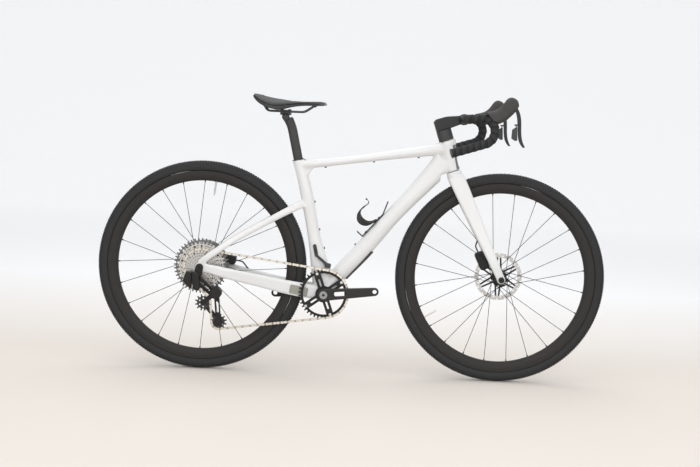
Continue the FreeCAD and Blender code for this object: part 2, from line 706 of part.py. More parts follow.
def frame(tubes, bosses):
    """One-piece frame: tubes, stays, shell and dropouts with their bores."""
    shell = side_rod(BOTTOM_BRACKET, SHELL_WIDTH / 2, -SHELL_WIDTH / 2, SHELL_RADIUS)
    pads = []
    holes = []
    for group in bosses.values():
        for seat, way in group:
            pads.append(rod(seat - way * OVERRUN, seat + way * BOSS_PROUD, BOSS_RADIUS))
            holes.append(rod(seat - way * BOSS_HOLE_DEPTH, seat + way * (BOSS_PROUD + OVERRUN), BOSS_HOLE_RADIUS))
    body = fused([tubes["head"], tubes["down"], tubes["top"], tubes["seat"], shell]
                 + both(chainstay()) + both(seatstay()) + both(dropout()) + frame_webs() + pads)
    top = SMALL_GAP + HEAD_TUBE_LENGTH
    holes.append(side_rod(BOTTOM_BRACKET, SHELL_WIDTH, -SHELL_WIDTH, CUP_RADIUS + RUNNING_FIT))
    holes.append(side_rod(REAR_AXLE, REAR_HUB_WIDTH, -REAR_HUB_WIDTH, AXLE_RADIUS + RUNNING_FIT))
    holes.append(side_rod(REAR_AXLE, REAR_HUB_WIDTH / 2, -REAR_HUB_WIDTH / 2, DROPOUT_RADIUS + OVERRUN))
    outer = REAR_HUB_WIDTH / 2 + DROPOUT_THICKNESS
    holes += both(side_rod(REAR_AXLE, -outer, -REAR_HUB_WIDTH, SHELL_RADIUS))
    holes.append(rod(steer_point(0, -2 * CROWN_DEPTH), steer_point(0, SMALL_GAP), CROWN_DEPTH))
    holes.append(rod(steer_point(0, -OVERRUN), steer_point(0, top + SPACER_STACK), STEERER_RADIUS + WALL))
    holes.append(rod(steer_point(0, -OVERRUN), steer_point(0, SMALL_GAP + BEARING_HEIGHT + BEARING_FACE_GAP),
                     LOWER_BEARING_RADIUS + RUNNING_FIT))
    holes.append(rod(steer_point(0, top - BEARING_HEIGHT - BEARING_FACE_GAP), steer_point(0, top + SPACER_STACK),
                     UPPER_BEARING_RADIUS + RUNNING_FIT))
    holes.append(post_pocket())
    holes.append(wedge_slot())
    return cut(body, holes)


def headset_bearings():
    low = SMALL_GAP + BEARING_FACE_GAP
    high = SMALL_GAP + HEAD_TUBE_LENGTH - BEARING_FACE_GAP - BEARING_HEIGHT
    rings = []
    for rise, radius in ((low, LOWER_BEARING_RADIUS), (high, UPPER_BEARING_RADIUS)):
        ring = rod(steer_point(0, rise), steer_point(0, rise + BEARING_HEIGHT), radius)
        hole = rod(steer_point(0, rise - OVERRUN), steer_point(0, rise + BEARING_HEIGHT + OVERRUN),
                   STEERER_RADIUS + RUNNING_FIT)
        rings.append(ring.cut(hole))
    return rings


def seat_clamp():
    """Wedge that presses on the seatpost, and the rubber cover over its mouth."""
    centre = post_foot() + POST_FRONT * (POST_DEPTH / 2 + POST_TRAVEL_GAP + WEDGE_DEPTH / 2)
    wedge = shaped_tube(centre - POST_WAY * WEDGE_HEIGHT, centre - POST_WAY * COVER_THICKNESS, WEDGE_WIDTH,
                        WEDGE_DEPTH, ((0.0, 0.0, 1.0, 0.8), (1.0, 0.0, 1.0, 1.0)), 0.3)
    collar = shaped_tube(SEAT_TOP, SEAT_TOP + SEAT_WAY * COVER_THICKNESS, SEAT_TUBE_WIDTH, SEAT_TUBE_DEPTH,
                         ((0.0, 0.0, 1.0, 1.0), (1.0, 0.0, 0.94, 0.94)), TUBE_CORNER_SHARE)
    return [wedge, collar.cut(post_pocket())]


def down_tube_guard(solid):
    """Thin strip that hugs the underside of the down tube ahead of the bottom bracket."""
    skin = shaped_tube(BOTTOM_BRACKET, DOWN_TUBE_FRONT, DOWN_TUBE_WIDTH + GUARD_THICKNESS,
                       DOWN_TUBE_DEPTH + 2 * GUARD_THICKNESS, DOWN_TUBE_STATION_SHARES, TUBE_CORNER_SHARE)
    near = BOTTOM_BRACKET + DOWN_TUBE_WAY * GUARD_START
    far = near + DOWN_TUBE_WAY * GUARD_LENGTH
    high = DOWN_TUBE_UP * -(DOWN_TUBE_DEPTH * 0.2)
    low = DOWN_TUBE_UP * -DOWN_TUBE_DEPTH
    region = slab(polygon([near + high, far + high, far + low, near + low]), GUARD_WIDTH / 2, -GUARD_WIDTH / 2)
    pieces = skin.common(region).cut(solid).Solids
    return max(pieces, key=lambda piece: piece.Volume)


def chainstay_plate(solid):
    """Thin metal plate on the outside of the right stay beside the chainring."""
    run = BOTTOM_BRACKET - REAR_AXLE
    way = Vector(run).normalize()
    centre = REAR_AXLE + run * STAY_PLATE_SHARE - quarter(way) * STAY_PLATE_DROP
    outer = -REAR_HUB_WIDTH * 0.38
    outline = rounded_loop(centre, way, quarter(way), PLATE_LENGTH, STAY_PLATE_HEIGHT, 0.4)
    skin = stay(REAR_AXLE, BOTTOM_BRACKET, CHAINSTAY_WIDTH + 2 * STAY_PLATE_THICKNESS, CHAINSTAY_DEPTH,
                CHAINSTAY_STATION_SHARES)
    band = slab(outline, -REAR_HUB_WIDTH * 0.22, outer).common(skin).cut(solid)
    return max(band.Solids, key=lambda piece: piece.Volume)


def headset_spacers():
    """Stack of D-shaped spacers over the head tube."""
    base = 2 * SMALL_GAP + HEAD_TUBE_LENGTH
    step = SPACER_STACK / SPACER_COUNT
    bore = rod(steer_point(0, base - OVERRUN), steer_point(0, base + SPACER_STACK + OVERRUN),
               STEERER_RADIUS + RUNNING_FIT)
    depth = SPACER_BACK + SPACER_FRONT
    middle = (SPACER_FRONT - SPACER_BACK) / 2
    rings = []
    for index in range(SPACER_COUNT):
        low = base + step * index
        wires = [rounded_loop(steer_point(middle, rise), SIDE, STEER_FRONT, SPACER_WIDTH, depth, 0.85)
                 for rise in (low, low + step)]
        rings.append(Part.makeLoft(wires, True, True).cut(bore))
    return rings


STEM_BASE = 2 * SMALL_GAP + HEAD_TUBE_LENGTH + SPACER_STACK
BAR_CENTRE = steer_point(STEM_LENGTH, STEM_BASE + STEM_HEIGHT / 2 - STEM_NOSE_DROP / 2)


def stem():
    """Stem with its steerer bore, bar clamp and top cap."""
    top = STEM_BASE + STEM_HEIGHT
    nose_low = STEM_BASE + STEM_NOSE_DROP / 4
    profile = loop(steer_point(-STEM_BACK, STEM_BASE), [
        steer_point(SPACER_FRONT, STEM_BASE),
        steer_point(STEM_LENGTH, nose_low),
        steer_point(STEM_LENGTH, top - STEM_NOSE_DROP),
        steer_point(SPACER_FRONT, top - SMALL_GAP),
        steer_point(SPACER_BACK, top),
        steer_point(-STEM_BACK / 2, top),
        steer_point(-STEM_BACK, top - STEM_BACK / 3)])
    body = slab(profile, STEM_WIDTH / 2, -STEM_WIDTH / 2)
    plan = loop(steer_point(-STEM_BACK, top + OVERRUN, STEM_WIDTH / 2), [
        steer_point(SPACER_FRONT, top + OVERRUN, STEM_WAIST / 2),
        steer_point(STEM_LENGTH + OVERRUN, top + OVERRUN, STEM_WIDTH / 2),
        steer_point(STEM_LENGTH + OVERRUN, top + OVERRUN, -STEM_WIDTH / 2),
        steer_point(SPACER_FRONT, top + OVERRUN, -STEM_WAIST / 2),
        steer_point(-STEM_BACK, top + OVERRUN, -STEM_WIDTH / 2)])
    waist = Part.Face(plan).extrude(STEER_UP * -(STEM_HEIGHT + 2 * OVERRUN))
    body = body.common(waist)
    edges = [e for e in body.Edges if abs(e.BoundBox.Center.y) > STEM_WAIST / 4]
    body = body.makeFillet(STEM_BACK / 6, edges)
    clamp = side_rod(BAR_CENTRE, STEM_WIDTH / 2, -STEM_WIDTH / 2, BAR_CLAMP_RADIUS + WALL)
    bores = [side_rod(BAR_CENTRE, STEM_WIDTH, -STEM_WIDTH, BAR_CLAMP_RADIUS + RUNNING_FIT),
             rod(steer_point(0, STEM_BASE - OVERRUN), steer_point(0, top - STEM_CAP_HEIGHT),
                 STEERER_RADIUS + RUNNING_FIT),
             rod(steer_point(0, top - 2 * STEM_CAP_HEIGHT), steer_point(0, top + OVERRUN),
                 STEM_CAP_RADIUS + RUNNING_FIT)]
    cap = rod(steer_point(0, top - STEM_CAP_HEIGHT), steer_point(0, top - REST_GAP), STEM_CAP_RADIUS)
    socket = rod(steer_point(0, top - STEM_CAP_HEIGHT / 2), steer_point(0, top + OVERRUN), AXLE_SOCKET_RADIUS)
    return [cut(body.fuse(clamp).removeSplitter(), bores), cap.cut(socket)]


def bar_points(start_side):
    """Corners of the right half of the bar from a side offset out to its end."""
    top = BAR_CENTRE + SIDE * -BAR_HALF_WIDTH
    hood = top + Vector(BAR_REACH, -BAR_HOOD_SPREAD, BAR_RAMP_RISE)
    low = hood + Vector(BAR_DROP_LEAN, -BAR_DROP_SPREAD, -BAR_DROP)
    end = low + Vector(-BAR_END_BACK, -BAR_END_SPREAD, -BAR_END_DROP)
    return [BAR_CENTRE + SIDE * start_side, top, hood, low, end]


BAR_RADII = (BAR_CORNER_RADIUS, BAR_HOOK_RADIUS, BAR_DROP_RADIUS)
HOOD_POINT = bar_points(0)[2]
BAR_END = bar_points(0)[4]
BAR_END_WAY = Vector(BAR_END - bar_points(0)[3]).normalize()


def handlebar():
    """Drop bar: a wide clamp middle and two hollow bends."""
    half = BAR_CLAMP_WIDTH / 2
    middle = side_rod(BAR_CENTRE, half, -half, BAR_CLAMP_RADIUS)
    taper = Part.makeCone(BAR_CLAMP_RADIUS, BAR_RADIUS, BAR_CLAMP_RADIUS, BAR_CENTRE + SIDE * -half, -SIDE)
    bend = pipe(bar_points(0), BAR_RADII, BAR_RADIUS)
    inner = pipe(bar_points(0), BAR_RADII, BAR_RADIUS - BAR_WALL)
    tip = rod(BAR_END, BAR_END + BAR_END_WAY * OVERRUN, BAR_RADIUS - BAR_WALL)
    solid = fused([middle] + both(bend) + both(taper))
    return cut(solid, both(inner) + both(tip))


def bar_tape():
    """Wrapped tape as one sleeve on the right half of the bar."""
    points = bar_points(-TAPE_START)
    return pipe(points, BAR_RADII, TAPE_RADIUS).cut(pipe(points, BAR_RADII, BAR_RADIUS + RUNNING_FIT))


def bar_plug():
    stopper = rod(BAR_END - BAR_END_WAY * PLUG_DEPTH, BAR_END + BAR_END_WAY * SMALL_GAP,
                  BAR_RADIUS - BAR_WALL - RUNNING_FIT)
    flange = rod(BAR_END + BAR_END_WAY * RUNNING_FIT, BAR_END + BAR_END_WAY * PLUG_FLANGE, TAPE_RADIUS)
    rim = [e for e in flange.Edges if (e.BoundBox.Center - BAR_END).dot(BAR_END_WAY) > PLUG_FLANGE / 2]
    return flange.makeFillet(PLUG_FLANGE / 2, rim[:1]).fuse(stopper).removeSplitter()


LEVER_PIVOT = HOOD_POINT + Vector(LEVER_PIVOT_FORWARD, 0, LEVER_PIVOT_RISE)


def lever_point(along, out):
    """Point of the lever in shares of its length below the pivot and of its depth behind it."""
    return LEVER_PIVOT + Vector(-out * LEVER_DEPTH, 0, -along * LEVER_LENGTH)


def hood():
    """Right lever body with its rubber hood, slotted for the lever."""
    wires = []
    for low_front, low_rise, high_front, high_rise, wide in HOOD_STATION_SHARES:
        low = HOOD_POINT + Vector(low_front * HOOD_LENGTH, 0, low_rise * HOOD_RISE)
        high = HOOD_POINT + Vector(high_front * HOOD_LENGTH, 0, high_rise * HOOD_RISE)
        upward = Vector(high - low).normalize()
        wires.append(rounded_loop((low + high) / 2, SIDE, upward, HOOD_WIDTH * wide, (high - low).Length,
                                  HOOD_CORNER_SHARE))
    body = Part.makeLoft(wires, True, False)
    sleeve = pipe(bar_points(-TAPE_START), BAR_RADII, TAPE_RADIUS + RUNNING_FIT)
    gap = LEVER_WIDTH / 2 + REST_GAP
    room = Part.makeBox(HOOD_LENGTH, 2 * gap, LEVER_LENGTH,
                        LEVER_PIVOT + Vector(-LEVER_LUG_RADIUS - LEVER_DEPTH, -gap, LEVER_LUG_RADIUS - LEVER_LENGTH))
    nose = side_rod(LEVER_PIVOT, gap, -gap, LEVER_LUG_RADIUS + SMALL_GAP)
    pin = side_rod(LEVER_PIVOT, HOOD_WIDTH / 3, -HOOD_WIDTH / 3, LEVER_PIN_RADIUS)
    return cut(body, [sleeve, room, nose]).fuse(pin.common(body)).removeSplitter()


def spline(points):
    curve = Part.BSplineCurve()
    curve.interpolate(points)
    return curve.toShape()


def paddle_pin():
    """Point on the paddle's upright pin, level with the top of the paddle."""
    return PADDLE_TOP + Vector(-PADDLE_PIN_BACK, -LEVER_WIDTH / 2 - PADDLE_OUT, 0)


def brake_lever():
    """Curved blade hung from a lug on the hood's pin."""
    front = [lever_point(along, out) for along, out in LEVER_FRONT_SHARES]
    back = [lever_point(along, out) for along, out in LEVER_BACK_SHARES]
    outline = Part.Wire([spline(front), Part.LineSegment(front[-1], back[0]).toShape(), spline(back),
                         Part.LineSegment(back[-1], front[0]).toShape()])
    half = LEVER_WIDTH / 2
    blade = slab(outline, half, -half)
    lug = slab(Part.Wire(Part.makeCircle(LEVER_LUG_RADIUS, LEVER_PIVOT, SIDE)), half, -half)
    edges = [e for e in blade.Edges if e.BoundBox.YLength < SMALL_GAP and e.Length > LEVER_LENGTH / 2]
    blade = blade.makeFillet(half / 3, edges)
    bore = side_rod(LEVER_PIVOT, LEVER_WIDTH, -LEVER_WIDTH, LEVER_PIN_RADIUS + RUNNING_FIT)
    base = paddle_pin() + Vector(-PADDLE_LUG_HEIGHT, -PADDLE_THICKNESS / 2, SMALL_GAP)
    carrier = Part.makeBox(PADDLE_LUG_LENGTH, PADDLE_THICKNESS + PADDLE_OUT + OVERRUN, PADDLE_LUG_HEIGHT, base)
    pin_hole = rod(paddle_pin(), paddle_pin() + Vector(0, 0, 2 * PADDLE_LUG_HEIGHT), PADDLE_PIN_RADIUS + RUNNING_FIT)
    return cut(fused([blade, lug, carrier]), [bore, pin_hole])


PADDLE_TOP = lever_point(0, -PADDLE_LAG) + Vector(-PADDLE_DEPTH * 0.3, 0, -PADDLE_DROP)


def shift_paddle():
    """Thin paddle on an upright pin behind the lever blade."""
    side = -LEVER_WIDTH / 2 - PADDLE_OUT
    outline = loop(PADDLE_TOP + Vector(0, 0, 0), [
        PADDLE_TOP + Vector(-PADDLE_DEPTH * 0.7, 0, -PADDLE_HEIGHT * 0.25),
        PADDLE_TOP + Vector(-PADDLE_DEPTH * 0.75, 0, -PADDLE_HEIGHT * 0.85),
        PADDLE_TOP + Vector(-PADDLE_DEPTH * 0.3, 0, -PADDLE_HEIGHT),
        PADDLE_TOP + Vector(PADDLE_DEPTH * 0.12, 0, -PADDLE_HEIGHT)])
    plate = slab(outline, PADDLE_THICKNESS / 2, -PADDLE_THICKNESS / 2)
    edges = [e for e in plate.Edges if e.BoundBox.YLength > PADDLE_THICKNESS / 2]
    plate = plate.makeFillet(PADDLE_THICKNESS / 2, edges)
    plate.translate(SIDE * side)
    pin = rod(paddle_pin() - Vector(0, 0, PADDLE_PIN_DEPTH), paddle_pin() + Vector(0, 0, PADDLE_LUG_HEIGHT),
              PADDLE_PIN_RADIUS)
    return plate.fuse(pin).removeSplitter()


def fork():
    """Steerer, crown and two legs with their tips."""
    steerer = rod(steer_point(0, -CROWN_HEIGHT / 2), steer_point(0, STEM_BASE + STEM_HEIGHT - 2 * STEM_CAP_HEIGHT),
                  STEERER_RADIUS)
    bore = rod(steer_point(0, -CROWN_HEIGHT), steer_point(0, STEM_BASE + STEM_HEIGHT), STEERER_RADIUS - WALL)
    race = rod(steer_point(0, -OVERRUN), steer_point(0, SMALL_GAP + BEARING_FACE_GAP - RUNNING_FIT),
               STEERER_RADIUS + WALL)
    wires = [rounded_loop(steer_point(-CROWN_DEPTH * 0.02, -CROWN_HEIGHT * share), SIDE, STEER_FRONT,
                          CROWN_WIDTH * wide, CROWN_DEPTH * deep, TUBE_CORNER_SHARE)
             for share, wide, deep in ((0.0, 0.82, 0.92), (0.4, 0.98, 0.98), (1.0, 1.08, 0.98))]
    crown = Part.makeLoft(wires, True, False)
    start = steer_point(0, -CROWN_HEIGHT * 0.5)
    run = FRONT_AXLE - start
    upward = quarter(Vector(run).normalize())
    tip_side = FRONT_HUB_WIDTH / 2 + FORK_LEG_WIDTH * 0.43 + REST_GAP
    legs = []
    for along, spread, wide, deep in FORK_STATION_SHARES:
        side = -FORK_LEG_TOP_SPREAD - spread * (tip_side - FORK_LEG_TOP_SPREAD)
        legs.append(rounded_loop(start + run * along + SIDE * side, SIDE, upward, FORK_LEG_WIDTH * wide,
                                 FORK_LEG_DEPTH * deep, STAY_CORNER_SHARE))
    leg = Part.makeLoft(legs, True, False)
    inner = -FRONT_HUB_WIDTH / 2 - REST_GAP
    tip = side_rod(FRONT_AXLE, inner, inner - FORK_LEG_WIDTH * 0.8, FORK_TIP_RADIUS)
    tyre_room = side_rod(FRONT_AXLE, TYRE_WIDTH / 2 + OVERRUN * 2, -TYRE_WIDTH / 2 - OVERRUN * 2,
                         TYRE_RADIUS + OVERRUN * 3)
    hub_room = side_rod(FRONT_AXLE, -inner, inner, FORK_LEG_DEPTH)
    axle_hole = side_rod(FRONT_AXLE, FRONT_HUB_WIDTH, -FRONT_HUB_WIDTH, AXLE_RADIUS + RUNNING_FIT)
    shaft = fused([steerer, race])
    body = fused([crown] + both(leg) + both(tip)).cut(tyre_room)
    return cut(body.fuse(shaft), [bore, hub_room, axle_hole])


def tyre(axle):
    """Hollow tyre whose beads sit inside the rim's flanges."""
    core = TYRE_RADIUS - TYRE_WIDTH / 2
    outer = TYRE_WIDTH / 2
    inner = outer - TYRE_WALL
    edge = RIM_WIDTH / 2
    lip = RIM_EDGE_RADIUS + REST_GAP
    bead_out = edge - RIM_FLANGE - REST_GAP
    bead_in = bead_out - BEAD_THICKNESS
    bead_low = RIM_EDGE_RADIUS - BEAD_HEIGHT

    def place(side, radius):
        return axle + Vector(0, side, radius)

    rise = core - math.sqrt(outer ** 2 - edge ** 2)
    edge_low = place(edge, max(rise, lip))
    steps = [(place(0, TYRE_RADIUS), place(-edge, max(rise, lip))), place(-bead_out, lip), place(-bead_out, bead_low),
             place(-bead_in, bead_low), place(-bead_in, lip),
             (place(0, core + inner), place(bead_in, lip)),
             place(bead_in, bead_low), place(bead_out, bead_low), place(bead_out, lip)]
    return Part.Face(loop(edge_low, steps)).revolve(axle, SIDE, 360)


def rim_profile(axle, inset):
    """Outline of the rim's hollow or outside, drawn in by inset."""
    half = RIM_WIDTH / 2 - inset
    nose = RIM_EDGE_RADIUS - RIM_DEPTH + inset
    bed = RIM_EDGE_RADIUS - RIM_BED_DEPTH - inset
    flat = RIM_NOSE_WIDTH / 2 - inset / 2

    def place(side, radius):
        return axle + Vector(0, side, radius)

    shoulder = RIM_EDGE_RADIUS - RIM_DEPTH * 0.45
    sides = [place(-half, bed), (place(-half * 0.985, shoulder), place(-flat, nose + inset)),
             (place(0, nose - RIM_FLANGE / 2), place(flat, nose + inset)),
             (place(half * 0.985, shoulder), place(half, bed))]
    if inset:
        return loop(place(half, bed), sides)
    lip = half - RIM_FLANGE
    well = bed - RIM_WALL
    return loop(place(half, RIM_EDGE_RADIUS), [
        place(lip, RIM_EDGE_RADIUS), place(lip, bed), place(lip - BEAD_THICKNESS - OVERRUN, bed),
        place(lip - 2 * BEAD_THICKNESS, well), place(-lip + 2 * BEAD_THICKNESS, well),
        place(-lip + BEAD_THICKNESS + OVERRUN, bed), place(-lip, bed), place(-lip, RIM_EDGE_RADIUS),
        place(-half, RIM_EDGE_RADIUS)] + sides)


def spoke_lines(axle, left, right, valve_angle):
    """Hub end and rim end of every spoke."""
    lines = []
    for index in range(SPOKE_COUNT):
        angle = valve_angle + 360 / SPOKE_COUNT * (index + 0.5)
        side = left if index % 2 else right
        lead = 1 if index % 4 < 2 else -1
        hub_way = heading(angle + lead * SPOKE_LEAD)
        step = SPOKE_SIDE_STEP * lead
        hub_end = axle + hub_way * FLANGE_PITCH_RADIUS + SIDE * (side + step)
        rim_end = axle + heading(angle) * (RIM_EDGE_RADIUS - RIM_DEPTH)
        lines.append((hub_end, rim_end))
    return lines


def spokes(axle, left, right, valve_angle):
    """Straight-pull spokes and their nipples."""
    solids = []
    for hub_end, rim_end in spoke_lines(axle, left, right, valve_angle):
        way = Vector(rim_end - hub_end).normalize()
        head = rod(hub_end - way * (LUG_LENGTH / 2 + SPOKE_HEAD_LENGTH), hub_end - way * (LUG_LENGTH / 2),
                   SPOKE_HEAD_RADIUS)
        shaft = rod(hub_end - way * (LUG_LENGTH / 2), rim_end - way * (NIPPLE_OUT - OVERRUN), SPOKE_RADIUS)
        solids.append(head.fuse(shaft).removeSplitter())
        sleeve = rod(rim_end - way * NIPPLE_OUT, rim_end + way * NIPPLE_IN, NIPPLE_RADIUS)
        solids.append(sleeve.cut(rod(rim_end - way * (NIPPLE_OUT + OVERRUN), rim_end - way * (NIPPLE_OUT - OVERRUN),
                                     SPOKE_RADIUS + RUNNING_FIT)))
    return solids


def rim(axle, left, right, valve_angle):
    hollow = Part.Face(rim_profile(axle, RIM_WALL)).revolve(axle, SIDE, 360)
    body = Part.Face(rim_profile(axle, 0)).revolve(axle, SIDE, 360).cut(hollow)
    holes = []
    for hub_end, rim_end in spoke_lines(axle, left, right, valve_angle):
        way = Vector(rim_end - hub_end).normalize()
        holes.append(rod(rim_end - way * NIPPLE_OUT, rim_end + way * (NIPPLE_IN + OVERRUN),
                         NIPPLE_RADIUS + RUNNING_FIT))
    spoke = heading(valve_angle)
    holes.append(rod(axle + spoke * (RIM_EDGE_RADIUS - 2 * RIM_DEPTH), axle + spoke * RIM_EDGE_RADIUS,
                     VALVE_RADIUS + RUNNING_FIT))
    return body.cut(Part.makeCompound(holes))


def valve(axle, angle):
    """Tubeless valve through the rim with its nut, tip and foot."""
    way = heading(angle)
    nose = RIM_EDGE_RADIUS - RIM_DEPTH - RIM_FLANGE / 2 - REST_GAP
    bed = RIM_EDGE_RADIUS - RIM_BED_DEPTH - RIM_WALL
    stem_rod = rod(axle + way * (nose - VALVE_LENGTH), axle + way * (bed + SMALL_GAP), VALVE_RADIUS)
    nut = rod(axle + way * (nose - VALVE_NUT_HEIGHT), axle + way * nose, VALVE_NUT_RADIUS)
    tip = rod(axle + way * (nose - VALVE_LENGTH - VALVE_NUT_HEIGHT * 2), axle + way * (nose - VALVE_LENGTH),
              VALVE_TIP_RADIUS)
    foot = rod(axle + way * (bed + RUNNING_FIT), axle + way * (bed + VALVE_FOOT_HEIGHT), VALVE_FOOT_RADIUS)
    return fused([stem_rod, nut, tip, foot])


def hub(axle, left, right, hub_width, drive_end, valve_angle):
    """Hub shell with straight-pull lugs and through bore; a drive hub ends at its right flange."""
    end = hub_width / 2 - REST_GAP
    half = FLANGE_WIDTH / 2
    bore = AXLE_RADIUS + RUNNING_FIT
    profile = [(end, bore), (end, HUB_CAP_RADIUS), (left + half + HUB_CAP_RADIUS, HUB_CAP_RADIUS),
               (left + half + OVERRUN, HUB_WAIST_RADIUS), (left + half, FLANGE_RADIUS), (left - half, FLANGE_RADIUS),
               (left - half - OVERRUN, HUB_WAIST_RADIUS), (right + half + OVERRUN, HUB_WAIST_RADIUS),
               (right + half, FLANGE_RADIUS), (right - half, FLANGE_RADIUS)]
    if drive_end:
        profile.append((right - half, bore))
    else:
        profile += [(right - half - OVERRUN, HUB_WAIST_RADIUS), (right - half - HUB_CAP_RADIUS, HUB_CAP_RADIUS),
                    (-end, HUB_CAP_RADIUS), (-end, bore)]
    lugs = []
    bores = []
    for hub_end, rim_end in spoke_lines(axle, left, right, valve_angle):
        way = Vector(rim_end - hub_end).normalize()
        lugs.append(rod(hub_end - way * (LUG_LENGTH / 2 - RUNNING_FIT), hub_end + way * (LUG_LENGTH / 2), LUG_RADIUS))
        bores.append(rod(hub_end - way * LUG_LENGTH, hub_end + way * LUG_LENGTH, SPOKE_RADIUS + RUNNING_FIT))
        bores.append(rod(hub_end - way * LUG_LENGTH, hub_end - way * (LUG_LENGTH / 2 - RUNNING_FIT),
                         SPOKE_HEAD_RADIUS + REST_GAP))
    body = fused([revolved(profile, axle)] + lugs)
    return body.cut(Part.makeCompound(bores))


def through_axle(axle, left, right):
    """Through axle with a socket at each end."""
    shaft = side_rod(axle, left, right, AXLE_RADIUS)
    head = side_rod(axle, left + AXLE_HEAD_LENGTH, left, AXLE_HEAD_RADIUS)
    cap = side_rod(axle, right, right - AXLE_HEAD_LENGTH, AXLE_HEAD_RADIUS)
    left_end = left + AXLE_HEAD_LENGTH
    sockets = [side_rod(axle, left_end + OVERRUN, left_end - AXLE_SOCKET_DEPTH, AXLE_SOCKET_RADIUS),
               side_rod(axle, right - AXLE_HEAD_LENGTH + AXLE_SOCKET_DEPTH, right - AXLE_HEAD_LENGTH - OVERRUN,
                        AXLE_SOCKET_RADIUS)]
    return cut(fused([shaft, head, cap]), sockets)


def axle_tube():
    """Tube over the rear axle that carries the freehub and stays still with the frame."""
    start = REAR_FLANGE_RIGHT - FLANGE_WIDTH / 2 - REST_GAP
    end = REST_GAP - REAR_HUB_WIDTH / 2
    bore = AXLE_RADIUS + RUNNING_FIT
    return revolved([(start, bore), (start, HUB_AXLE_RADIUS), (end, HUB_AXLE_RADIUS), (end, bore)], REAR_AXLE)


def rotor(axle, hub_width):
    """Vented brake disc with leaning arms and a carrier on the hub's cap."""
    side = hub_width / 2 - ROTOR_INSET
    left = side + ROTOR_THICKNESS / 2
    right = side - ROTOR_THICKNESS / 2
    inner = ROTOR_RADIUS - ROTOR_TRACK
    track = side_rod(axle, left, right, ROTOR_RADIUS).cut(side_rod(axle, left + OVERRUN, right - OVERRUN, inner))
    carrier = side_rod(axle, left, right, ROTOR_CARRIER_RADIUS)
    arms = []
    for index in range(ROTOR_ARM_COUNT):
        for lean in (-ROTOR_ARM_LEAN, ROTOR_ARM_LEAN):
            angle = 360 * index / ROTOR_ARM_COUNT
            start = axle + heading(angle) * (ROTOR_CARRIER_RADIUS * 0.8)
            end = axle + heading(angle + lean) * (inner + ROTOR_ARM_WIDTH / 2)
            way = Vector(end - start).normalize()
            wide = quarter(way) * (ROTOR_ARM_WIDTH / 2)
            arms.append(slab(polygon([start - wide, end - wide, end + wide, start + wide]), left, right))
    holes = [side_rod(axle, left + OVERRUN, right - OVERRUN, HUB_CAP_RADIUS + RUNNING_FIT)]
    for index in range(ROTOR_HOLE_COUNT):
        shift = ROTOR_TRACK * (0.3 if index % 2 else -0.2)
        centre = axle + heading(360 * index / ROTOR_HOLE_COUNT) * (ROTOR_RADIUS - ROTOR_TRACK / 2 + shift)
        holes.append(side_rod(centre, left + OVERRUN, right - OVERRUN, ROTOR_HOLE_RADIUS))
    return fused([track, carrier] + arms).cut(Part.makeCompound(holes))


def caliper(axle, hub_width, angle, turn, solid):
    """Flat-mount caliper over the rotor, and its two pads."""
    side = hub_width / 2 - ROTOR_INSET
    way = heading(angle)
    along = quarter(way)
    centre = axle + way * (ROTOR_RADIUS - PAD_HEIGHT * 0.1)
    tilt = heading(angle + turn)
    outline = rounded_loop(centre, quarter(tilt), tilt, CALIPER_LENGTH, CALIPER_HEIGHT, 0.55)
    body = slab(outline, side + CALIPER_WIDTH * 0.45, side - CALIPER_WIDTH * 0.55)
    edges = [e for e in body.Edges if e.BoundBox.YLength < SMALL_GAP]
    body = body.makeChamfer(CALIPER_HEIGHT / 8, edges)
    slot = side_rod(axle, side + CALIPER_SLOT / 2, side - CALIPER_SLOT / 2, ROTOR_RADIUS + 3 * OVERRUN)
    window = slab(rounded_loop(centre, along, way, PAD_LENGTH * 1.1, CALIPER_HEIGHT * 1.6, 0.2),
                  side + CALIPER_SLOT / 2, side - CALIPER_SLOT / 2)
    pads = []
    for sign in (1, -1):
        inner = side + sign * (CALIPER_SLOT / 2 - RUNNING_FIT)
        outer = inner - sign * PAD_THICKNESS
        pads.append(slab(rounded_loop(axle + way * (ROTOR_RADIUS - ROTOR_TRACK / 2), along, way, PAD_LENGTH,
                                      PAD_HEIGHT, 0.3), max(inner, outer), min(inner, outer)))
    pieces = cut(body, [slot, window, solid]).Solids
    return [max(pieces, key=lambda piece: piece.Volume)] + pads


def pitch_radius(teeth):
    return CHAIN_PITCH / (2 * math.sin(math.pi / teeth))


def cog_side(index):
    """Side offset of a cog's middle plane."""
    return -(REAR_HUB_WIDTH / 2 - FIRST_COG_FROM_END - COG_PITCH * index)


COG_SIDE = cog_side(COG_IN_USE)
CAGE_PIVOT = REAR_AXLE + Vector(CAGE_PIVOT_FORWARD, 0, -CAGE_PIVOT_DROP)


def pulley_centres(turn):
    """Guide and tension pulley centres for a turn of the cage in degrees."""
    return (CAGE_PIVOT + heading(GUIDE_ARM_ANGLE + turn) * GUIDE_ARM,
            CAGE_PIVOT + heading(TENSION_ARM_ANGLE + turn) * TENSION_ARM)


def chain_course(turn):
    """Sprockets in the chain's order: centre, teeth, sense of turning and side offset."""
    guide, tension = pulley_centres(turn)
    return ((BOTTOM_BRACKET, RING_TEETH, -1, -CHAIN_LINE), (tension, PULLEY_TEETH, -1, COG_SIDE),
            (guide, PULLEY_TEETH, 1, COG_SIDE), (REAR_AXLE, COG_TEETH[COG_IN_USE], -1, COG_SIDE))


def span_angle(first, second):
    """Direction and length of the straight run between two sprockets."""
    gap = second[0] - first[0]
    lean = second[2] * pitch_radius(second[1]) - first[2] * pitch_radius(first[1])
    angle = math.atan2(gap.z, gap.x) - math.asin(lean / gap.Length)
    return angle, math.sqrt(gap.Length ** 2 - lean ** 2)


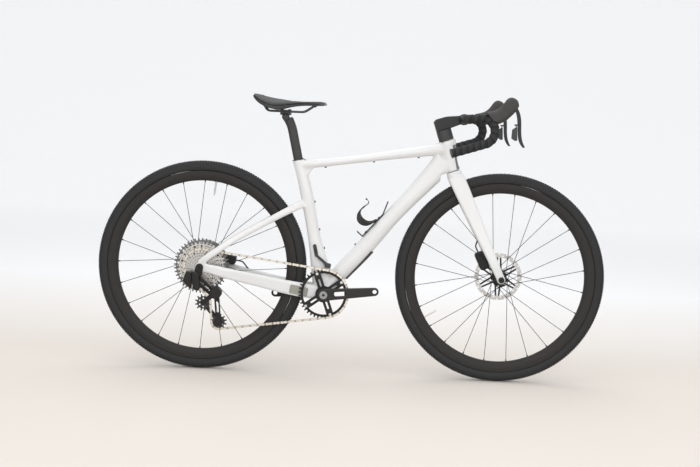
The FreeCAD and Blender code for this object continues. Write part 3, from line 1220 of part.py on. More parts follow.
def chain_segments(turn):
    """Wraps and straight runs in order, each with its length in pitches."""
    course = chain_course(turn)
    runs = [span_angle(course[index], course[(index + 1) % 4]) for index in range(4)]
    segments = []
    for index, (centre, teeth, sense, side) in enumerate(course):
        incoming = runs[index - 1][0]
        outgoing, length = runs[index]
        sweep = (sense * (outgoing - incoming)) % (2 * math.pi)
        start = incoming - sense * math.pi / 2
        segments.append(("wrap", index, start, sweep * teeth / (2 * math.pi)))
        after = course[(index + 1) % 4]
        offset = after[3] - side
        segments.append(("run", index, outgoing, math.sqrt(length ** 2 + offset ** 2) / CHAIN_PITCH))
    return course, segments


def chain_total(turn):
    return sum(segment[3] for segment in chain_segments(turn)[1])


def cage_turn():
    """Turn of the cage that takes up a whole, even number of links."""
    low = -CAGE_TURN_LIMIT
    high = CAGE_TURN_LIMIT
    target = 2 * round(chain_total(0) / 2)
    rising = chain_total(high) > chain_total(low)
    for _ in range(CAGE_TURN_STEPS):
        middle = (low + high) / 2
        if (chain_total(middle) < target) == rising:
            low = middle
        else:
            high = middle
    return middle, target


def chain_places(turn, count):
    """Pin centres all round the chain, and each sprocket's first seat angle."""
    course, segments = chain_segments(turn)
    pins = []
    seats = {}
    passed = 0.0
    step = 0
    for kind, index, angle, pitches in segments:
        centre, teeth, sense, side = course[index]
        radius = pitch_radius(teeth)
        while step < count and step <= passed + pitches:
            share = step - passed
            if kind == "wrap":
                seat = angle + sense * share * 2 * math.pi / teeth
                pins.append(centre + heading(math.degrees(seat)) * radius + SIDE * side)
                seats.setdefault(index, math.degrees(seat))
            else:
                after = course[(index + 1) % 4]
                start = centre + heading(math.degrees(angle + sense * -math.pi / 2)) * radius + SIDE * side
                end = after[0] + heading(math.degrees(angle + after[2] * -math.pi / 2)) * pitch_radius(after[1])
                end = end + SIDE * after[3]
                pins.append(start + (end - start) * (share / pitches))
            step += 1
        passed += pitches
    return pins, seats


def chain_plates(inner, outer):
    """Pair of waisted link plates about the origin, on both sides of the chain."""
    half = CHAIN_PITCH / 2
    tall = PLATE_HEIGHT / 2
    waist = tall * 0.74
    outline = loop(Vector(-half, 0, tall), [
        (Vector(0, 0, waist), Vector(half, 0, tall)), (Vector(half + tall, 0, 0), Vector(half, 0, -tall)),
        (Vector(0, 0, -waist), Vector(-half, 0, -tall)), (Vector(-half - tall, 0, 0), Vector(-half, 0, tall))])
    plate = slab(outline, outer, inner)
    return both(plate)


def chain(pins):
    """Every link as a solid of its own, rollers on the inner links and pins on the outer ones."""
    half = CHAIN_PITCH / 2
    inner_face = CHAIN_INNER_WIDTH / 2
    inner_back = inner_face + PLATE_THICKNESS
    outer_face = inner_back + PLATE_GAP
    outer_back = outer_face + PLATE_THICKNESS
    bore = PIN_RADIUS + 2 * PLATE_GAP
    ends = [Vector(-half, 0, 0), Vector(half, 0, 0)]
    roller_link = fused(chain_plates(inner_face, inner_back)
                        + [side_rod(end, inner_face, -inner_face, ROLLER_RADIUS) for end in ends])
    roller_link = cut(roller_link, [side_rod(end, outer_back, -outer_back, bore) for end in ends])
    pin_link = fused(chain_plates(outer_face, outer_back)
                     + [side_rod(end, outer_back, -outer_back, PIN_RADIUS) for end in ends])
    links = []
    for index, pin in enumerate(pins):
        after = pins[(index + 1) % len(pins)]
        forward = Vector(after - pin).normalize()
        across = Vector(SIDE - forward * SIDE.dot(forward)).normalize()
        link = (pin_link if index % 2 else roller_link).copy()
        link.Placement = FreeCAD.Placement((pin + after) / 2, FreeCAD.Rotation(forward, across, forward.cross(across)))
        links.append(link)
    return links


def sprocket(centre, teeth, side, thickness, bore, first_seat):
    """Toothed wheel whose roller seats start at a given angle."""
    radius = pitch_radius(teeth)
    seat = ROLLER_RADIUS + ROLLER_SEAT_GAP
    tip = radius + TOOTH_HEIGHT
    pitch = 360 / teeth
    opening = math.radians(SEAT_OPENING_ANGLE)
    start = None
    steps = []
    for index in range(teeth):
        angle = first_seat + index * pitch
        outward = heading(angle)
        around = quarter(outward)
        middle = centre + outward * radius
        low = middle - outward * (seat * math.cos(opening))
        before = low - around * (seat * math.sin(opening))
        after = low + around * (seat * math.sin(opening))
        tip_before = centre + heading(angle - pitch * (0.5 - TOOTH_TIP_SHARE)) * tip
        tip_after = centre + heading(angle + pitch * (0.5 - TOOTH_TIP_SHARE)) * tip
        if start is None:
            start = tip_before
        else:
            steps.append(tip_before)
        steps += [before, (middle - outward * seat, after), tip_after]
    hole = Part.Wire(Part.makeCircle(bore, centre, SIDE))
    return slab([loop(start, steps), hole], side + thickness / 2, side - thickness / 2)


def eased(wheel, centre, teeth, pins, links):
    """Sprocket eased where the chain runs on and off it."""
    radius = pitch_radius(teeth)
    tools = []
    for index, pin in enumerate(pins):
        lift = (Vector(pin.x, 0, pin.z) - centre).Length - radius
        if RUNNING_FIT < lift < TOOTH_HEIGHT + 2 * ROLLER_RADIUS:
            way = SIDE * (2 * ROLLER_RADIUS)
            tools.append(rod(pin - way / 2, pin + way / 2, ROLLER_RADIUS + ROLLER_SEAT_GAP))
            tools += [links[index - 1], links[index]]
    return cut(wheel, tools)


def cog_bores():
    """Radius that each cog sits on, stepping out from the smallest."""
    seat = ROLLER_RADIUS + ROLLER_SEAT_GAP
    roots = [pitch_radius(teeth) - seat for teeth in COG_TEETH]
    least = FREEHUB_RADIUS + OVERRUN
    bores = [least]
    for before, root in zip(roots, roots[1:]):
        bores.append(max(least, min(root - COG_RIM, before - OVERRUN)))
    return roots, bores


def cassette_cogs(first_seat):
    """Twelve cogs, the larger ones drilled to save weight."""
    roots, bores = cog_bores()
    cogs = []
    for index, teeth in enumerate(COG_TEETH):
        side = cog_side(index)
        cog = sprocket(REAR_AXLE, teeth, side, COG_THICKNESS, bores[index] + RUNNING_FIT, first_seat)
        room = roots[index] - bores[index]
        if room > COG_RIM:
            radius = min(room * 0.28, 1.6 * COG_HOLE_RADIUS)
            count = teeth // 2
            holes = [side_rod(REAR_AXLE + heading(first_seat + 360 * hole / count) * (bores[index] + room * 0.5),
                              side + COG_THICKNESS, side - COG_THICKNESS, radius) for hole in range(count)]
            cog = cog.cut(Part.makeCompound(holes))
        cogs.append(cog)
    return cogs


def cassette_carrier():
    """Stepped hollow cone that carries the cogs on the freehub."""
    roots, bores = cog_bores()
    half = COG_THICKNESS / 2
    last = len(COG_TEETH) - 1
    inner = FREEHUB_RADIUS + RUNNING_FIT
    profile = [(cog_side(0) - half, inner), (cog_side(0) - half, bores[0])]
    for index in range(last):
        shoulder = cog_side(index) + half + RUNNING_FIT
        profile += [(shoulder, bores[index]), (shoulder, bores[index + 1])]
    end = cog_side(last) + half
    web = end - COG_THICKNESS - OVERRUN
    profile += [(end, bores[last]), (end, inner), (web, inner), (web, bores[last - 1] - 2 * OVERRUN)]
    for index in range(last - 1, 0, -1):
        hollow = max(inner, bores[index] - 2 * OVERRUN)
        before = max(inner, bores[index - 1] - 2 * OVERRUN)
        profile += [(cog_side(index) - half, hollow), (cog_side(index) - half, before)]
    kept = []
    for point in profile:
        if not kept or abs(point[0] - kept[-1][0]) + abs(point[1] - kept[-1][1]) > RUNNING_FIT / 10:
            kept.append(point)
    if abs(kept[-1][1] - inner) < RUNNING_FIT:
        kept.pop()
    return revolved(kept, REAR_AXLE)


def freehub():
    """Freehub body on the hub's axle tube, with the lockring at its end."""
    inner_end = REAR_FLANGE_RIGHT - FLANGE_WIDTH / 2 - REST_GAP
    outer_end = cog_side(0) - COG_THICKNESS / 2 - LOCKRING_WIDTH
    body = revolved([(inner_end, HUB_AXLE_RADIUS + RUNNING_FIT), (inner_end, FREEHUB_RADIUS),
                     (outer_end, FREEHUB_RADIUS), (outer_end, HUB_AXLE_RADIUS + RUNNING_FIT)], REAR_AXLE)
    ring_face = cog_side(0) - COG_THICKNESS / 2 - RUNNING_FIT
    ring = revolved([(ring_face, FREEHUB_RADIUS + RUNNING_FIT), (ring_face, LOCKRING_RADIUS),
                     (ring_face - LOCKRING_WIDTH, LOCKRING_RADIUS - SMALL_GAP),
                     (ring_face - LOCKRING_WIDTH, FREEHUB_RADIUS + RUNNING_FIT)], REAR_AXLE)
    return [body, ring]


def bottom_bracket_cups():
    """Pressed cups with flanges, and the bearings inside them."""
    face = SHELL_WIDTH / 2
    race = SPINDLE_RADIUS + OVERRUN * 2
    cup = revolved([(face - CUP_DEPTH, race), (face - CUP_DEPTH, CUP_RADIUS), (face + RUNNING_FIT, CUP_RADIUS),
                    (face + RUNNING_FIT, CUP_FLANGE_RADIUS), (face + CUP_FLANGE, CUP_FLANGE_RADIUS - SMALL_GAP),
                    (face + CUP_FLANGE, race)], BOTTOM_BRACKET)
    bearing = revolved([(face - CUP_DEPTH / 2, SPINDLE_RADIUS + RUNNING_FIT),
                        (face - CUP_DEPTH / 2, race - RUNNING_FIT), (face + SMALL_GAP, race - RUNNING_FIT),
                        (face + SMALL_GAP, SPINDLE_RADIUS + RUNNING_FIT)], BOTTOM_BRACKET)
    return both(cup) + both(bearing)


CRANK_WAY = heading(CRANK_ANGLE)
CRANK_OUTER = CRANK_INNER + CRANK_THICKNESS
SPINDLE_END = CRANK_OUTER - CAP_THICKNESS - SMALL_GAP


def crank_spindle():
    tube = side_rod(BOTTOM_BRACKET, SPINDLE_END, -SPINDLE_END, SPINDLE_RADIUS)
    return tube.cut(side_rod(BOTTOM_BRACKET, SPINDLE_END + OVERRUN, -SPINDLE_END - OVERRUN, SPINDLE_RADIUS - WALL))


def crank_arm(way, sign):
    """Tapered arm from the spindle to the pedal thread; sign is the side it stands on."""
    wide = quarter(way)
    end = BOTTOM_BRACKET + way * CRANK_LENGTH
    outline = loop(BOTTOM_BRACKET + wide * CRANK_BOSS_RADIUS, [
        (BOTTOM_BRACKET - way * CRANK_BOSS_RADIUS, BOTTOM_BRACKET - wide * CRANK_BOSS_RADIUS),
        end - wide * CRANK_END_RADIUS, (end + way * CRANK_END_RADIUS, end + wide * CRANK_END_RADIUS)])
    inner = sign * CRANK_INNER
    outer = sign * CRANK_OUTER
    arm = slab(outline, max(inner, outer), min(inner, outer))
    edges = [e for e in arm.Edges if abs(e.BoundBox.Center.y - outer) < SMALL_GAP]
    arm = arm.makeFillet(CRANK_THICKNESS / 4, edges)
    boss_end = sign * (SHELL_WIDTH / 2 + CUP_FLANGE + SMALL_GAP)
    boss = side_rod(BOTTOM_BRACKET, max(inner, boss_end), min(inner, boss_end), CRANK_BOSS_RADIUS)
    window_start = BOTTOM_BRACKET + way * (CRANK_WINDOW_START + CRANK_WINDOW_LENGTH / 2)
    window = slab(rounded_loop(window_start, way, wide, CRANK_WINDOW_LENGTH, CRANK_WINDOW_WIDTH, 0.7),
                  CRANK_OUTER + OVERRUN, -CRANK_OUTER - OVERRUN)
    spindle_top = sign * (SPINDLE_END + RUNNING_FIT)
    bores = [side_rod(BOTTOM_BRACKET, max(0, spindle_top), min(0, spindle_top), SPINDLE_RADIUS + RUNNING_FIT),
             side_rod(BOTTOM_BRACKET, CRANK_OUTER + OVERRUN, -CRANK_OUTER - OVERRUN, CAP_RADIUS + RUNNING_FIT),
             side_rod(end, CRANK_OUTER + OVERRUN, -CRANK_OUTER - OVERRUN, PEDAL_THREAD_RADIUS)]
    return cut(arm.fuse(boss).removeSplitter(), [window] + bores)


def crank_caps():
    """Bolt caps that close the ends of the spindle."""
    base = SPINDLE_END + RUNNING_FIT
    cap = side_rod(BOTTOM_BRACKET, CRANK_OUTER, base, CAP_RADIUS)
    points = [BOTTOM_BRACKET + heading(60 * corner) * CAP_HEX_RADIUS for corner in range(6)]
    return both(cap.cut(slab(polygon(points), CRANK_OUTER + OVERRUN, base + SMALL_GAP)))


def ring_bolt_places():
    return [BOTTOM_BRACKET + heading(CRANK_ANGLE + angle) * RING_BOLT_CIRCLE_RADIUS for angle in SPIDER_ARM_ANGLES]


RING_FACE = -CHAIN_LINE - RING_THICKNESS / 2
SPIDER_FACE = RING_FACE - SPIDER_THICKNESS


def chainring(first_seat):
    ring = sprocket(BOTTOM_BRACKET, RING_TEETH, -CHAIN_LINE, RING_THICKNESS, RING_INNER_RADIUS, first_seat)
    tabs = [side_rod(place, -CHAIN_LINE + RING_THICKNESS / 2, RING_FACE, RING_TAB_RADIUS)
            for place in ring_bolt_places()]
    inner = side_rod(BOTTOM_BRACKET, 0, SPIDER_FACE, RING_INNER_RADIUS + OVERRUN)
    kept = [tab.common(inner) for tab in tabs]
    holes = [side_rod(place, 0, SPIDER_FACE, RING_BOLT_RADIUS * 0.6) for place in ring_bolt_places()]
    return cut(fused([ring] + kept), holes)


def chainring_spider():
    """Four slotted arms that carry the ring on the right crank's boss."""
    left = RING_FACE - RUNNING_FIT
    solids = [side_rod(BOTTOM_BRACKET, left, SPIDER_FACE, CRANK_BOSS_RADIUS + 4 * OVERRUN)]
    slots = []
    for place in ring_bolt_places():
        way = Vector(place - BOTTOM_BRACKET).normalize()
        reach = RING_BOLT_CIRCLE_RADIUS
        outline = rounded_loop(BOTTOM_BRACKET + way * (reach / 2 + RING_TAB_RADIUS / 4), way, quarter(way),
                               reach + RING_TAB_RADIUS / 2, SPIDER_ARM_WIDTH, 0.5)
        solids.append(slab(outline, left, SPIDER_FACE))
        slot = rounded_loop(BOTTOM_BRACKET + way * (reach * SPIDER_SLOT_START_SHARE), way, quarter(way),
                            reach * 0.36, SPIDER_SLOT_WIDTH, 0.9)
        slots.append(slab(slot, left + OVERRUN, SPIDER_FACE - OVERRUN))
        slots.append(side_rod(place, left + OVERRUN, SPIDER_FACE - OVERRUN, RING_BOLT_RADIUS * 0.6))
    bore = side_rod(BOTTOM_BRACKET, 0, -CRANK_OUTER, CRANK_BOSS_RADIUS + RUNNING_FIT)
    return cut(fused(solids), slots + [bore])


def chainring_bolts():
    inner = -CHAIN_LINE + RING_THICKNESS / 2
    solids = []
    for place in ring_bolt_places():
        shank = side_rod(place, inner + SMALL_GAP / 2, SPIDER_FACE - SMALL_GAP, RING_BOLT_RADIUS * 0.6 - RUNNING_FIT)
        head = side_rod(place, SPIDER_FACE - RUNNING_FIT, SPIDER_FACE - SMALL_GAP, RING_BOLT_RADIUS)
        nut = side_rod(place, inner + SMALL_GAP / 2, inner + RUNNING_FIT, RING_BOLT_RADIUS)
        solids.append(fused([shank, head, nut]))
    return solids


def axle_place(forward, drop):
    """Point given from the rear axle."""
    return REAR_AXLE + Vector(forward, 0, -drop)


def band(start, end, width, left, right):
    """Flat bar with round ends between two points."""
    way = Vector(end - start).normalize()
    wide = quarter(way) * (width / 2)
    long_way = way * (width / 2)
    outline = loop(start + wide, [(start - long_way, start - wide), end - wide, (end + long_way, end + wide)])
    return slab(outline, left, right)


HANGER_OUTER = REAR_HUB_WIDTH / 2 + DROPOUT_THICKNESS + REST_GAP


def derailleur_knuckle():
    """Mount on the axle with the motor body that hangs from it."""
    right = -HANGER_OUTER - HANGER_THICKNESS
    mount = band(REAR_AXLE, axle_place(-KNUCKLE_DROP * 0.2, KNUCKLE_DROP), DROPOUT_RADIUS * 1.6, -HANGER_OUTER, right)
    body = band(axle_place(-KNUCKLE_DROP * 0.3, KNUCKLE_DROP * 0.7), axle_place(-KNUCKLE_DROP * 0.15, KNUCKLE_DROP * 1.75),
                BODY_WIDTH, -HANGER_OUTER, -HANGER_OUTER - BODY_WIDTH)
    edges = [e for e in body.Edges if abs(e.BoundBox.Center.y + HANGER_OUTER + BODY_WIDTH) < SMALL_GAP]
    body = body.makeFillet(BODY_WIDTH / 6, edges)
    bore = side_rod(REAR_AXLE, 0, -2 * HANGER_OUTER, AXLE_RADIUS + RUNNING_FIT)
    head_room = side_rod(REAR_AXLE, right, -2 * HANGER_OUTER, AXLE_HEAD_RADIUS + SMALL_GAP)
    return cut(mount.fuse(body).removeSplitter(), [bore, head_room])


def derailleur_battery():
    """Clip-on battery behind the motor body."""
    front = -KNUCKLE_DROP * 0.3 - BODY_WIDTH / 2 - REST_GAP
    outline = loop(axle_place(front, KNUCKLE_DROP * 0.42), [
        axle_place(front - BATTERY_WIDTH * 0.75, KNUCKLE_DROP * 0.36),
        axle_place(front - BATTERY_WIDTH * 1.15, KNUCKLE_DROP * 1.2),
        axle_place(front, KNUCKLE_DROP * 2.05)])
    block = slab(outline, -HANGER_OUTER, -HANGER_OUTER - BATTERY_WIDTH)
    edges = [e for e in block.Edges if e.BoundBox.YLength > BATTERY_WIDTH / 2]
    return block.makeFillet(BATTERY_WIDTH / 8, edges)


def link_end(point, side):
    return Vector(point.x, side, point.z)


def derailleur_links(body):
    """Two parallel links, and the lower knuckle that carries the cage."""
    solids = []
    start_side = -HANGER_OUTER - BODY_WIDTH / 2
    end_side = -(KNUCKLE_OUTER + KNUCKLE_INNER) / 2
    for shift in (0.0, 1.0):
        start = link_end(axle_place(KNUCKLE_DROP * 0.18, KNUCKLE_DROP * (0.95 + shift * 0.62)), start_side)
        end = link_end(CAGE_PIVOT + Vector(-KNUCKLE_RADIUS * 0.75, 0, KNUCKLE_RADIUS * (0.62 - shift * 1.0)), end_side)
        wires = [rounded_loop(place, SIDE, Vector(0, 0, 1), BODY_WIDTH * 0.75, LINK_DEPTH * 0.6, 0.5)
                 for place in (start, end)]
        lower = side_rod(CAGE_PIVOT, 0, -2 * KNUCKLE_OUTER, KNUCKLE_RADIUS)
        pieces = cut(Part.makeLoft(wires, True, True), [body, lower]).Solids
        solids.append(max(pieces, key=lambda piece: piece.Volume))
    knuckle = side_rod(CAGE_PIVOT, -KNUCKLE_INNER, -KNUCKLE_OUTER, KNUCKLE_RADIUS)
    edges = [e for e in knuckle.Edges if abs(e.BoundBox.Center.y + KNUCKLE_OUTER) < SMALL_GAP]
    knuckle = knuckle.makeFillet(KNUCKLE_RADIUS / 5, edges[:1])
    bore = side_rod(CAGE_PIVOT, 0, -KNUCKLE_OUTER + KNUCKLE_RADIUS / 3, PULLEY_HUB_RADIUS + RUNNING_FIT)
    return solids + [knuckle.cut(bore)]


def derailleur_cage(turn):
    """Two plates joined by the pulley pins, with the pivot shaft."""
    guide, tension = pulley_centres(turn)
    outer_left = COG_SIDE - CAGE_OUTER_GAP
    outer_right = outer_left - CAGE_THICKNESS
    inner_right = COG_SIDE + CAGE_INNER_GAP
    inner_left = inner_right + CAGE_THICKNESS
    wide = 2 * CAGE_BAND_RADIUS
    outer = fused([band(CAGE_PIVOT, tension, wide * 0.9, outer_left, outer_right),
                   band(CAGE_PIVOT, guide, wide * 0.8, outer_left, outer_right),
                   side_rod(CAGE_PIVOT, outer_left, outer_right, KNUCKLE_RADIUS * 0.75),
                   side_rod(tension, outer_left, outer_right, CAGE_TAIL_RADIUS)])
    inner = fused([band(guide, tension, wide * 0.8, inner_left, inner_right),
                   side_rod(tension, inner_left, inner_right, CAGE_TAIL_RADIUS)])
    middle = (CAGE_PIVOT + tension) / 2
    way = Vector(tension - CAGE_PIVOT).normalize()
    slot = slab(rounded_loop(middle, way, quarter(way), TENSION_ARM * 0.36, CAGE_BAND_RADIUS * 0.8, 0.9),
                outer_left + OVERRUN, outer_right - OVERRUN)
    pins = [side_rod(place, inner_left, outer_right, PULLEY_BORE_RADIUS - RUNNING_FIT) for place in (guide, tension)]
    shaft = side_rod(CAGE_PIVOT, outer_left, -KNUCKLE_OUTER + KNUCKLE_RADIUS / 3 + REST_GAP, PULLEY_HUB_RADIUS)
    return fused([outer.cut(slot), inner] + pins + [shaft])


def pulley(centre, first_seat):
    """Toothed pulley with a wide hub and lightening holes."""
    wheel = sprocket(centre, PULLEY_TEETH, COG_SIDE, PULLEY_THICKNESS, PULLEY_BORE_RADIUS, first_seat)
    half = CAGE_OUTER_GAP - REST_GAP * 2
    collar = side_rod(centre, COG_SIDE + half, COG_SIDE - half, PULLEY_HUB_RADIUS)
    reach = pitch_radius(PULLEY_TEETH) * 0.56
    holes = [side_rod(centre + heading(first_seat + 60 * index) * reach, 0, 2 * COG_SIDE, PULLEY_BORE_RADIUS * 0.9)
             for index in range(6)]
    bore = side_rod(centre, 0, 2 * COG_SIDE, PULLEY_BORE_RADIUS + RUNNING_FIT)
    return cut(wheel.fuse(collar).removeSplitter(), holes + [bore])


BARREL = SEAT_TOP + POST_WAY * POST_EXPOSED - POST_FRONT * POST_SETBACK


def seatpost():
    """Flattened post with a set-back head that ends in a cross barrel."""
    foot = SEAT_TOP - POST_WAY * POST_INSERT
    places = [(foot, 1.0, 1.0), (SEAT_TOP, 1.0, 1.0), (SEAT_TOP + POST_WAY * (POST_EXPOSED * 0.7), 1.0, 1.0),
              (BARREL - POST_WAY * (BARREL_RADIUS * 1.5) + POST_FRONT * (POST_SETBACK * 0.7), 1.05, 1.04),
              (BARREL - POST_WAY * (BARREL_RADIUS * 0.4) + POST_FRONT * (POST_SETBACK * 0.4), 1.1, 1.12)]
    straight = Part.makeLoft([rounded_loop(place, SIDE, POST_FRONT, POST_WIDTH * wide, POST_DEPTH * deep, POST_CORNER_SHARE)
                              for place, wide, deep in places[:3]], True, True)
    head = Part.makeLoft([rounded_loop(place, SIDE, POST_FRONT, POST_WIDTH * wide, POST_DEPTH * deep, POST_CORNER_SHARE)
                          for place, wide, deep in places[2:]], True, False)
    barrel = side_rod(BARREL, BARREL_WIDTH / 2, -BARREL_WIDTH / 2, BARREL_RADIUS)
    return fused([straight, head, barrel])


def rail_points(side):
    """Corners of one saddle rail from its tail to its nose."""
    half = side * RAIL_SPACING / 2
    level = BARREL + Vector(0, half, RAIL_RISE)
    nose = side * (RAIL_NOSE_SPACING - RAIL_SPACING) / 2
    return [level + Vector(-RAIL_TAIL_BACK, 0, RAIL_TAIL_RISE), level + Vector(-RAIL_BACK, 0, 0),
            level + Vector(RAIL_FRONT, 0, 0), level + Vector(RAIL_NOSE_FRONT, nose, RAIL_NOSE_RISE)]


def saddle_rails():
    radii = (RAIL_BEND_RADIUS, 2 * RAIL_BEND_RADIUS)
    return [pipe(rail_points(side), radii, RAIL_RADIUS) for side in (-1, 1)]


def saddle_clamp():
    """Lower cradle on the barrel, upper plate over the rails, and two bolts."""
    wide = RAIL_SPACING / 2 + RAIL_RADIUS + CLAMP_WALL
    half = CLAMP_LENGTH / 2
    split = RAIL_RISE - RAIL_RADIUS / 3
    lower = Part.makeBox(CLAMP_LENGTH, 2 * wide, split - BARREL_RADIUS / 2,
                         BARREL + Vector(-half, -wide, BARREL_RADIUS / 2))
    slim = wide - CLAMP_WALL / 2
    upper = Part.makeBox(CLAMP_LENGTH, 2 * slim, RAIL_RADIUS + CLAMP_WALL / 2,
                         BARREL + Vector(-half, -slim, split + SMALL_GAP / 2))
    channels = []
    for side in (-1, 1):
        level = BARREL + Vector(0, side * RAIL_SPACING / 2, RAIL_RISE)
        channels.append(rod(level - Vector(CLAMP_LENGTH, 0, 0), level + Vector(CLAMP_LENGTH, 0, 0),
                            RAIL_RADIUS + RUNNING_FIT))
    seat = side_rod(BARREL, BARREL_WIDTH, -BARREL_WIDTH, BARREL_RADIUS + RUNNING_FIT)
    middle_room = side_rod(BARREL, BARREL_WIDTH / 2 + SMALL_GAP, -BARREL_WIDTH / 2 - SMALL_GAP,
                           BARREL_RADIUS + RUNNING_FIT)
    bolts = []
    holes = []
    top = split + SMALL_GAP / 2 + RAIL_RADIUS + CLAMP_WALL / 2
    for end in (-1, 1):
        foot = BARREL + Vector(end * half * 0.74, 0, 0)
        low = BARREL_RADIUS * 0.75
        holes.append(rod(foot, foot + Vector(0, 0, top + OVERRUN), CLAMP_BOLT_RADIUS + RUNNING_FIT))
        head = rod(foot + Vector(0, 0, top + RUNNING_FIT), foot + Vector(0, 0, top + CLAMP_BOLT_RADIUS),
                   2 * CLAMP_BOLT_RADIUS)
        shank = rod(foot + Vector(0, 0, low), foot + Vector(0, 0, top + SMALL_GAP), CLAMP_BOLT_RADIUS)
        bolts.append(head.fuse(shank).removeSplitter())
    lower = cut(lower, channels + [seat] + holes)
    upper = cut(upper, channels + holes)
    return [max(lower.Solids, key=lambda piece: piece.Volume), upper] + bolts


def saddle_wires(top_drop, bottom_drop, top_share, low_share, overhang):
    """Arched sections of the saddle between two depths below its upper face."""
    tail = BARREL + Vector(-SADDLE_BACK, 0, SADDLE_RISE)
    reaches = [-overhang] + [0] * (len(SADDLE_STATION_SHARES) - 2) + [overhang]
    wires = []
    for reach, (along, wide, rise, drop, thick) in zip(reaches, SADDLE_STATION_SHARES):
        half = SADDLE_WIDTH / 2 * wide
        base = tail + Vector(along * SADDLE_LENGTH + reach, 0, rise * SADDLE_DEPTH)
        top = []
        low = []
        for out, down in SADDLE_ARCH_SHARES:
            fall = down * drop * SADDLE_DEPTH
            top.append(Vector(0, out * half * top_share, -fall - top_drop * thick))
            low.append(Vector(0, out * half * low_share, -fall - bottom_drop * thick))
        upper = [base + point for point in top]
        upper += [base + Vector(0, -point.y, point.z) for point in reversed(top[:-1])]
        lower = [base + Vector(0, -point.y, point.z) for point in low]
        lower += [base + point for point in reversed(low[:-1])]
        wires.append(Part.Wire([spline(upper), Part.LineSegment(upper[-1], lower[0]).toShape(), spline(lower),
                                Part.LineSegment(lower[-1], upper[0]).toShape()]))
    return wires


def saddle(rails):
    """Padded cover and the shell under it, parted by one surface and let in for the rails."""
    depth = SADDLE_PAD_THICKNESS + SADDLE_SHELL_THICKNESS
    whole = Part.makeLoft(saddle_wires(0, depth, 1, SADDLE_TUCK_SHARE, 0), True, False)
    upper = Part.makeLoft(saddle_wires(-SADDLE_DEPTH, SADDLE_PAD_THICKNESS, SADDLE_PARTING_SHARE,
                                       SADDLE_PARTING_SHARE, OVERRUN), True, False)
    blocks = []
    for side in (-1, 1):
        ends = rail_points(side)
        for end, before in ((ends[0], ends[1]), (ends[-1], ends[-2])):
            way = Vector(end - before).normalize()
            blocks.append(rod(end - way * (3 * RAIL_RADIUS), end + way * (RAIL_RADIUS / 2), 1.6 * RAIL_RADIUS))
    pad = cut(whole.common(upper), rails + blocks)
    shell = cut(fused([whole.cut(upper)] + blocks), rails)
    return [max(piece.Solids, key=lambda solid: solid.Volume) for piece in (pad, shell)]


def bottle_cage(bosses, solid, screws):
    """Spine on the down tube with a tongue, a foot and two wings round the bottle."""
    places = [seat for seat, way in bosses["cage"]]
    origin = (places[0] + places[1]) / 2 + DOWN_TUBE_UP * (BOSS_PROUD + RUNNING_FIT)

    def place(along, up, side):
        return origin + DOWN_TUBE_WAY * along + DOWN_TUBE_UP * up + SIDE * side

    thick = CAGE_STRIP_THICKNESS
    half = CAGE_SPINE_LENGTH / 2
    wide = CAGE_SPINE_WIDTH / 2
    outline = polygon([place(-half, 0, 0), place(half, 0, 0), place(half * 1.82, BOTTLE_RADIUS * 0.45, 0),
                       place(half * 1.78, BOTTLE_RADIUS * 0.45 + thick, 0), place(half * 0.96, thick, 0),
                       place(-half + thick, thick, 0), place(-half + thick, CAGE_FOOT_LENGTH, 0),
                       place(-half, CAGE_FOOT_LENGTH, 0)])
    solids = [slab(outline, wide, -wide)]
    axis = thick + BOTTLE_RADIUS
    for side in (-1, 1):
        wires = []
        for angle, share, wider in CAGE_WING_SHARES:
            along = (share - 0.5) * CAGE_SPINE_LENGTH
            turn = math.radians(angle)
            corners = []
            for radial, shift in ((0, -1), (1, -1), (1, 1), (0, 1)):
                radius = BOTTLE_RADIUS + radial * thick
                corners.append(place(along + shift * wider * CAGE_STRIP_WIDTH / 2, axis - radius * math.cos(turn),
                                     side * radius * math.sin(turn)))
            wires.append(polygon(corners))
        solids.append(Part.makeLoft(wires, True, False))
    holes = [rod(seat - way * OVERRUN, seat + way * CAGE_STRIP_WIDTH, BOSS_HOLE_RADIUS + RUNNING_FIT)
             for seat, way in bosses["cage"]]
    return cut(fused(solids), holes + [solid] + screws)


def frame_bolts(bosses):
    """Screws in the frame's bosses; the cage and guide screws stand on their fittings."""
    solids = []
    for group, lift in (("seat", 0), ("under", 0), ("low", 0), ("cage", CAGE_STRIP_THICKNESS + 2 * RUNNING_FIT),
                        ("guide", GUIDE_ARM_THICKNESS + 2 * RUNNING_FIT)):
        for seat, way in bosses[group]:
            solids.append(bolt(seat + way * (BOSS_PROUD + RUNNING_FIT + lift), way))
    return solids


def chain_guide(bosses, solid):
    """Bracket on the seat tube's side with a shoe over the top of the chainring."""
    seat, way = bosses["guide"][0]
    base = seat + way * (BOSS_PROUD + RUNNING_FIT)
    middle = Vector(base.x, 0, base.z)
    elbow = middle - SEAT_WAY * (1.6 * GUIDE_ARM_WIDTH)
    plate = band(middle + SEAT_WAY * GUIDE_ARM_WIDTH, elbow, GUIDE_ARM_WIDTH, base.y, base.y - GUIDE_ARM_THICKNESS)
    outward = heading(GUIDE_SHOE_ANGLE)
    rise = pitch_radius(RING_TEETH) + PLATE_HEIGHT / 2 + GUIDE_SHOE_CLEARANCE + GUIDE_SHOE_HEIGHT / 2
    shoe = BOTTOM_BRACKET + outward * rise
    left = -CHAIN_LINE + GUIDE_SHOE_WIDTH / 2
    right = -CHAIN_LINE - GUIDE_SHOE_WIDTH / 2
    arm = band(elbow, shoe, GUIDE_ARM_WIDTH * 0.65, base.y, left - SMALL_GAP)
    block = slab(rounded_loop(shoe, quarter(outward), outward, GUIDE_SHOE_LENGTH, GUIDE_SHOE_HEIGHT, 0.5), left, right)
    hole = rod(base - way * OVERRUN, base + way * GUIDE_ARM_WIDTH, BOSS_HOLE_RADIUS + RUNNING_FIT)
    body = cut(fused([plate, arm, block]), [hole, solid])
    return max(body.Solids, key=lambda piece: piece.Volume)


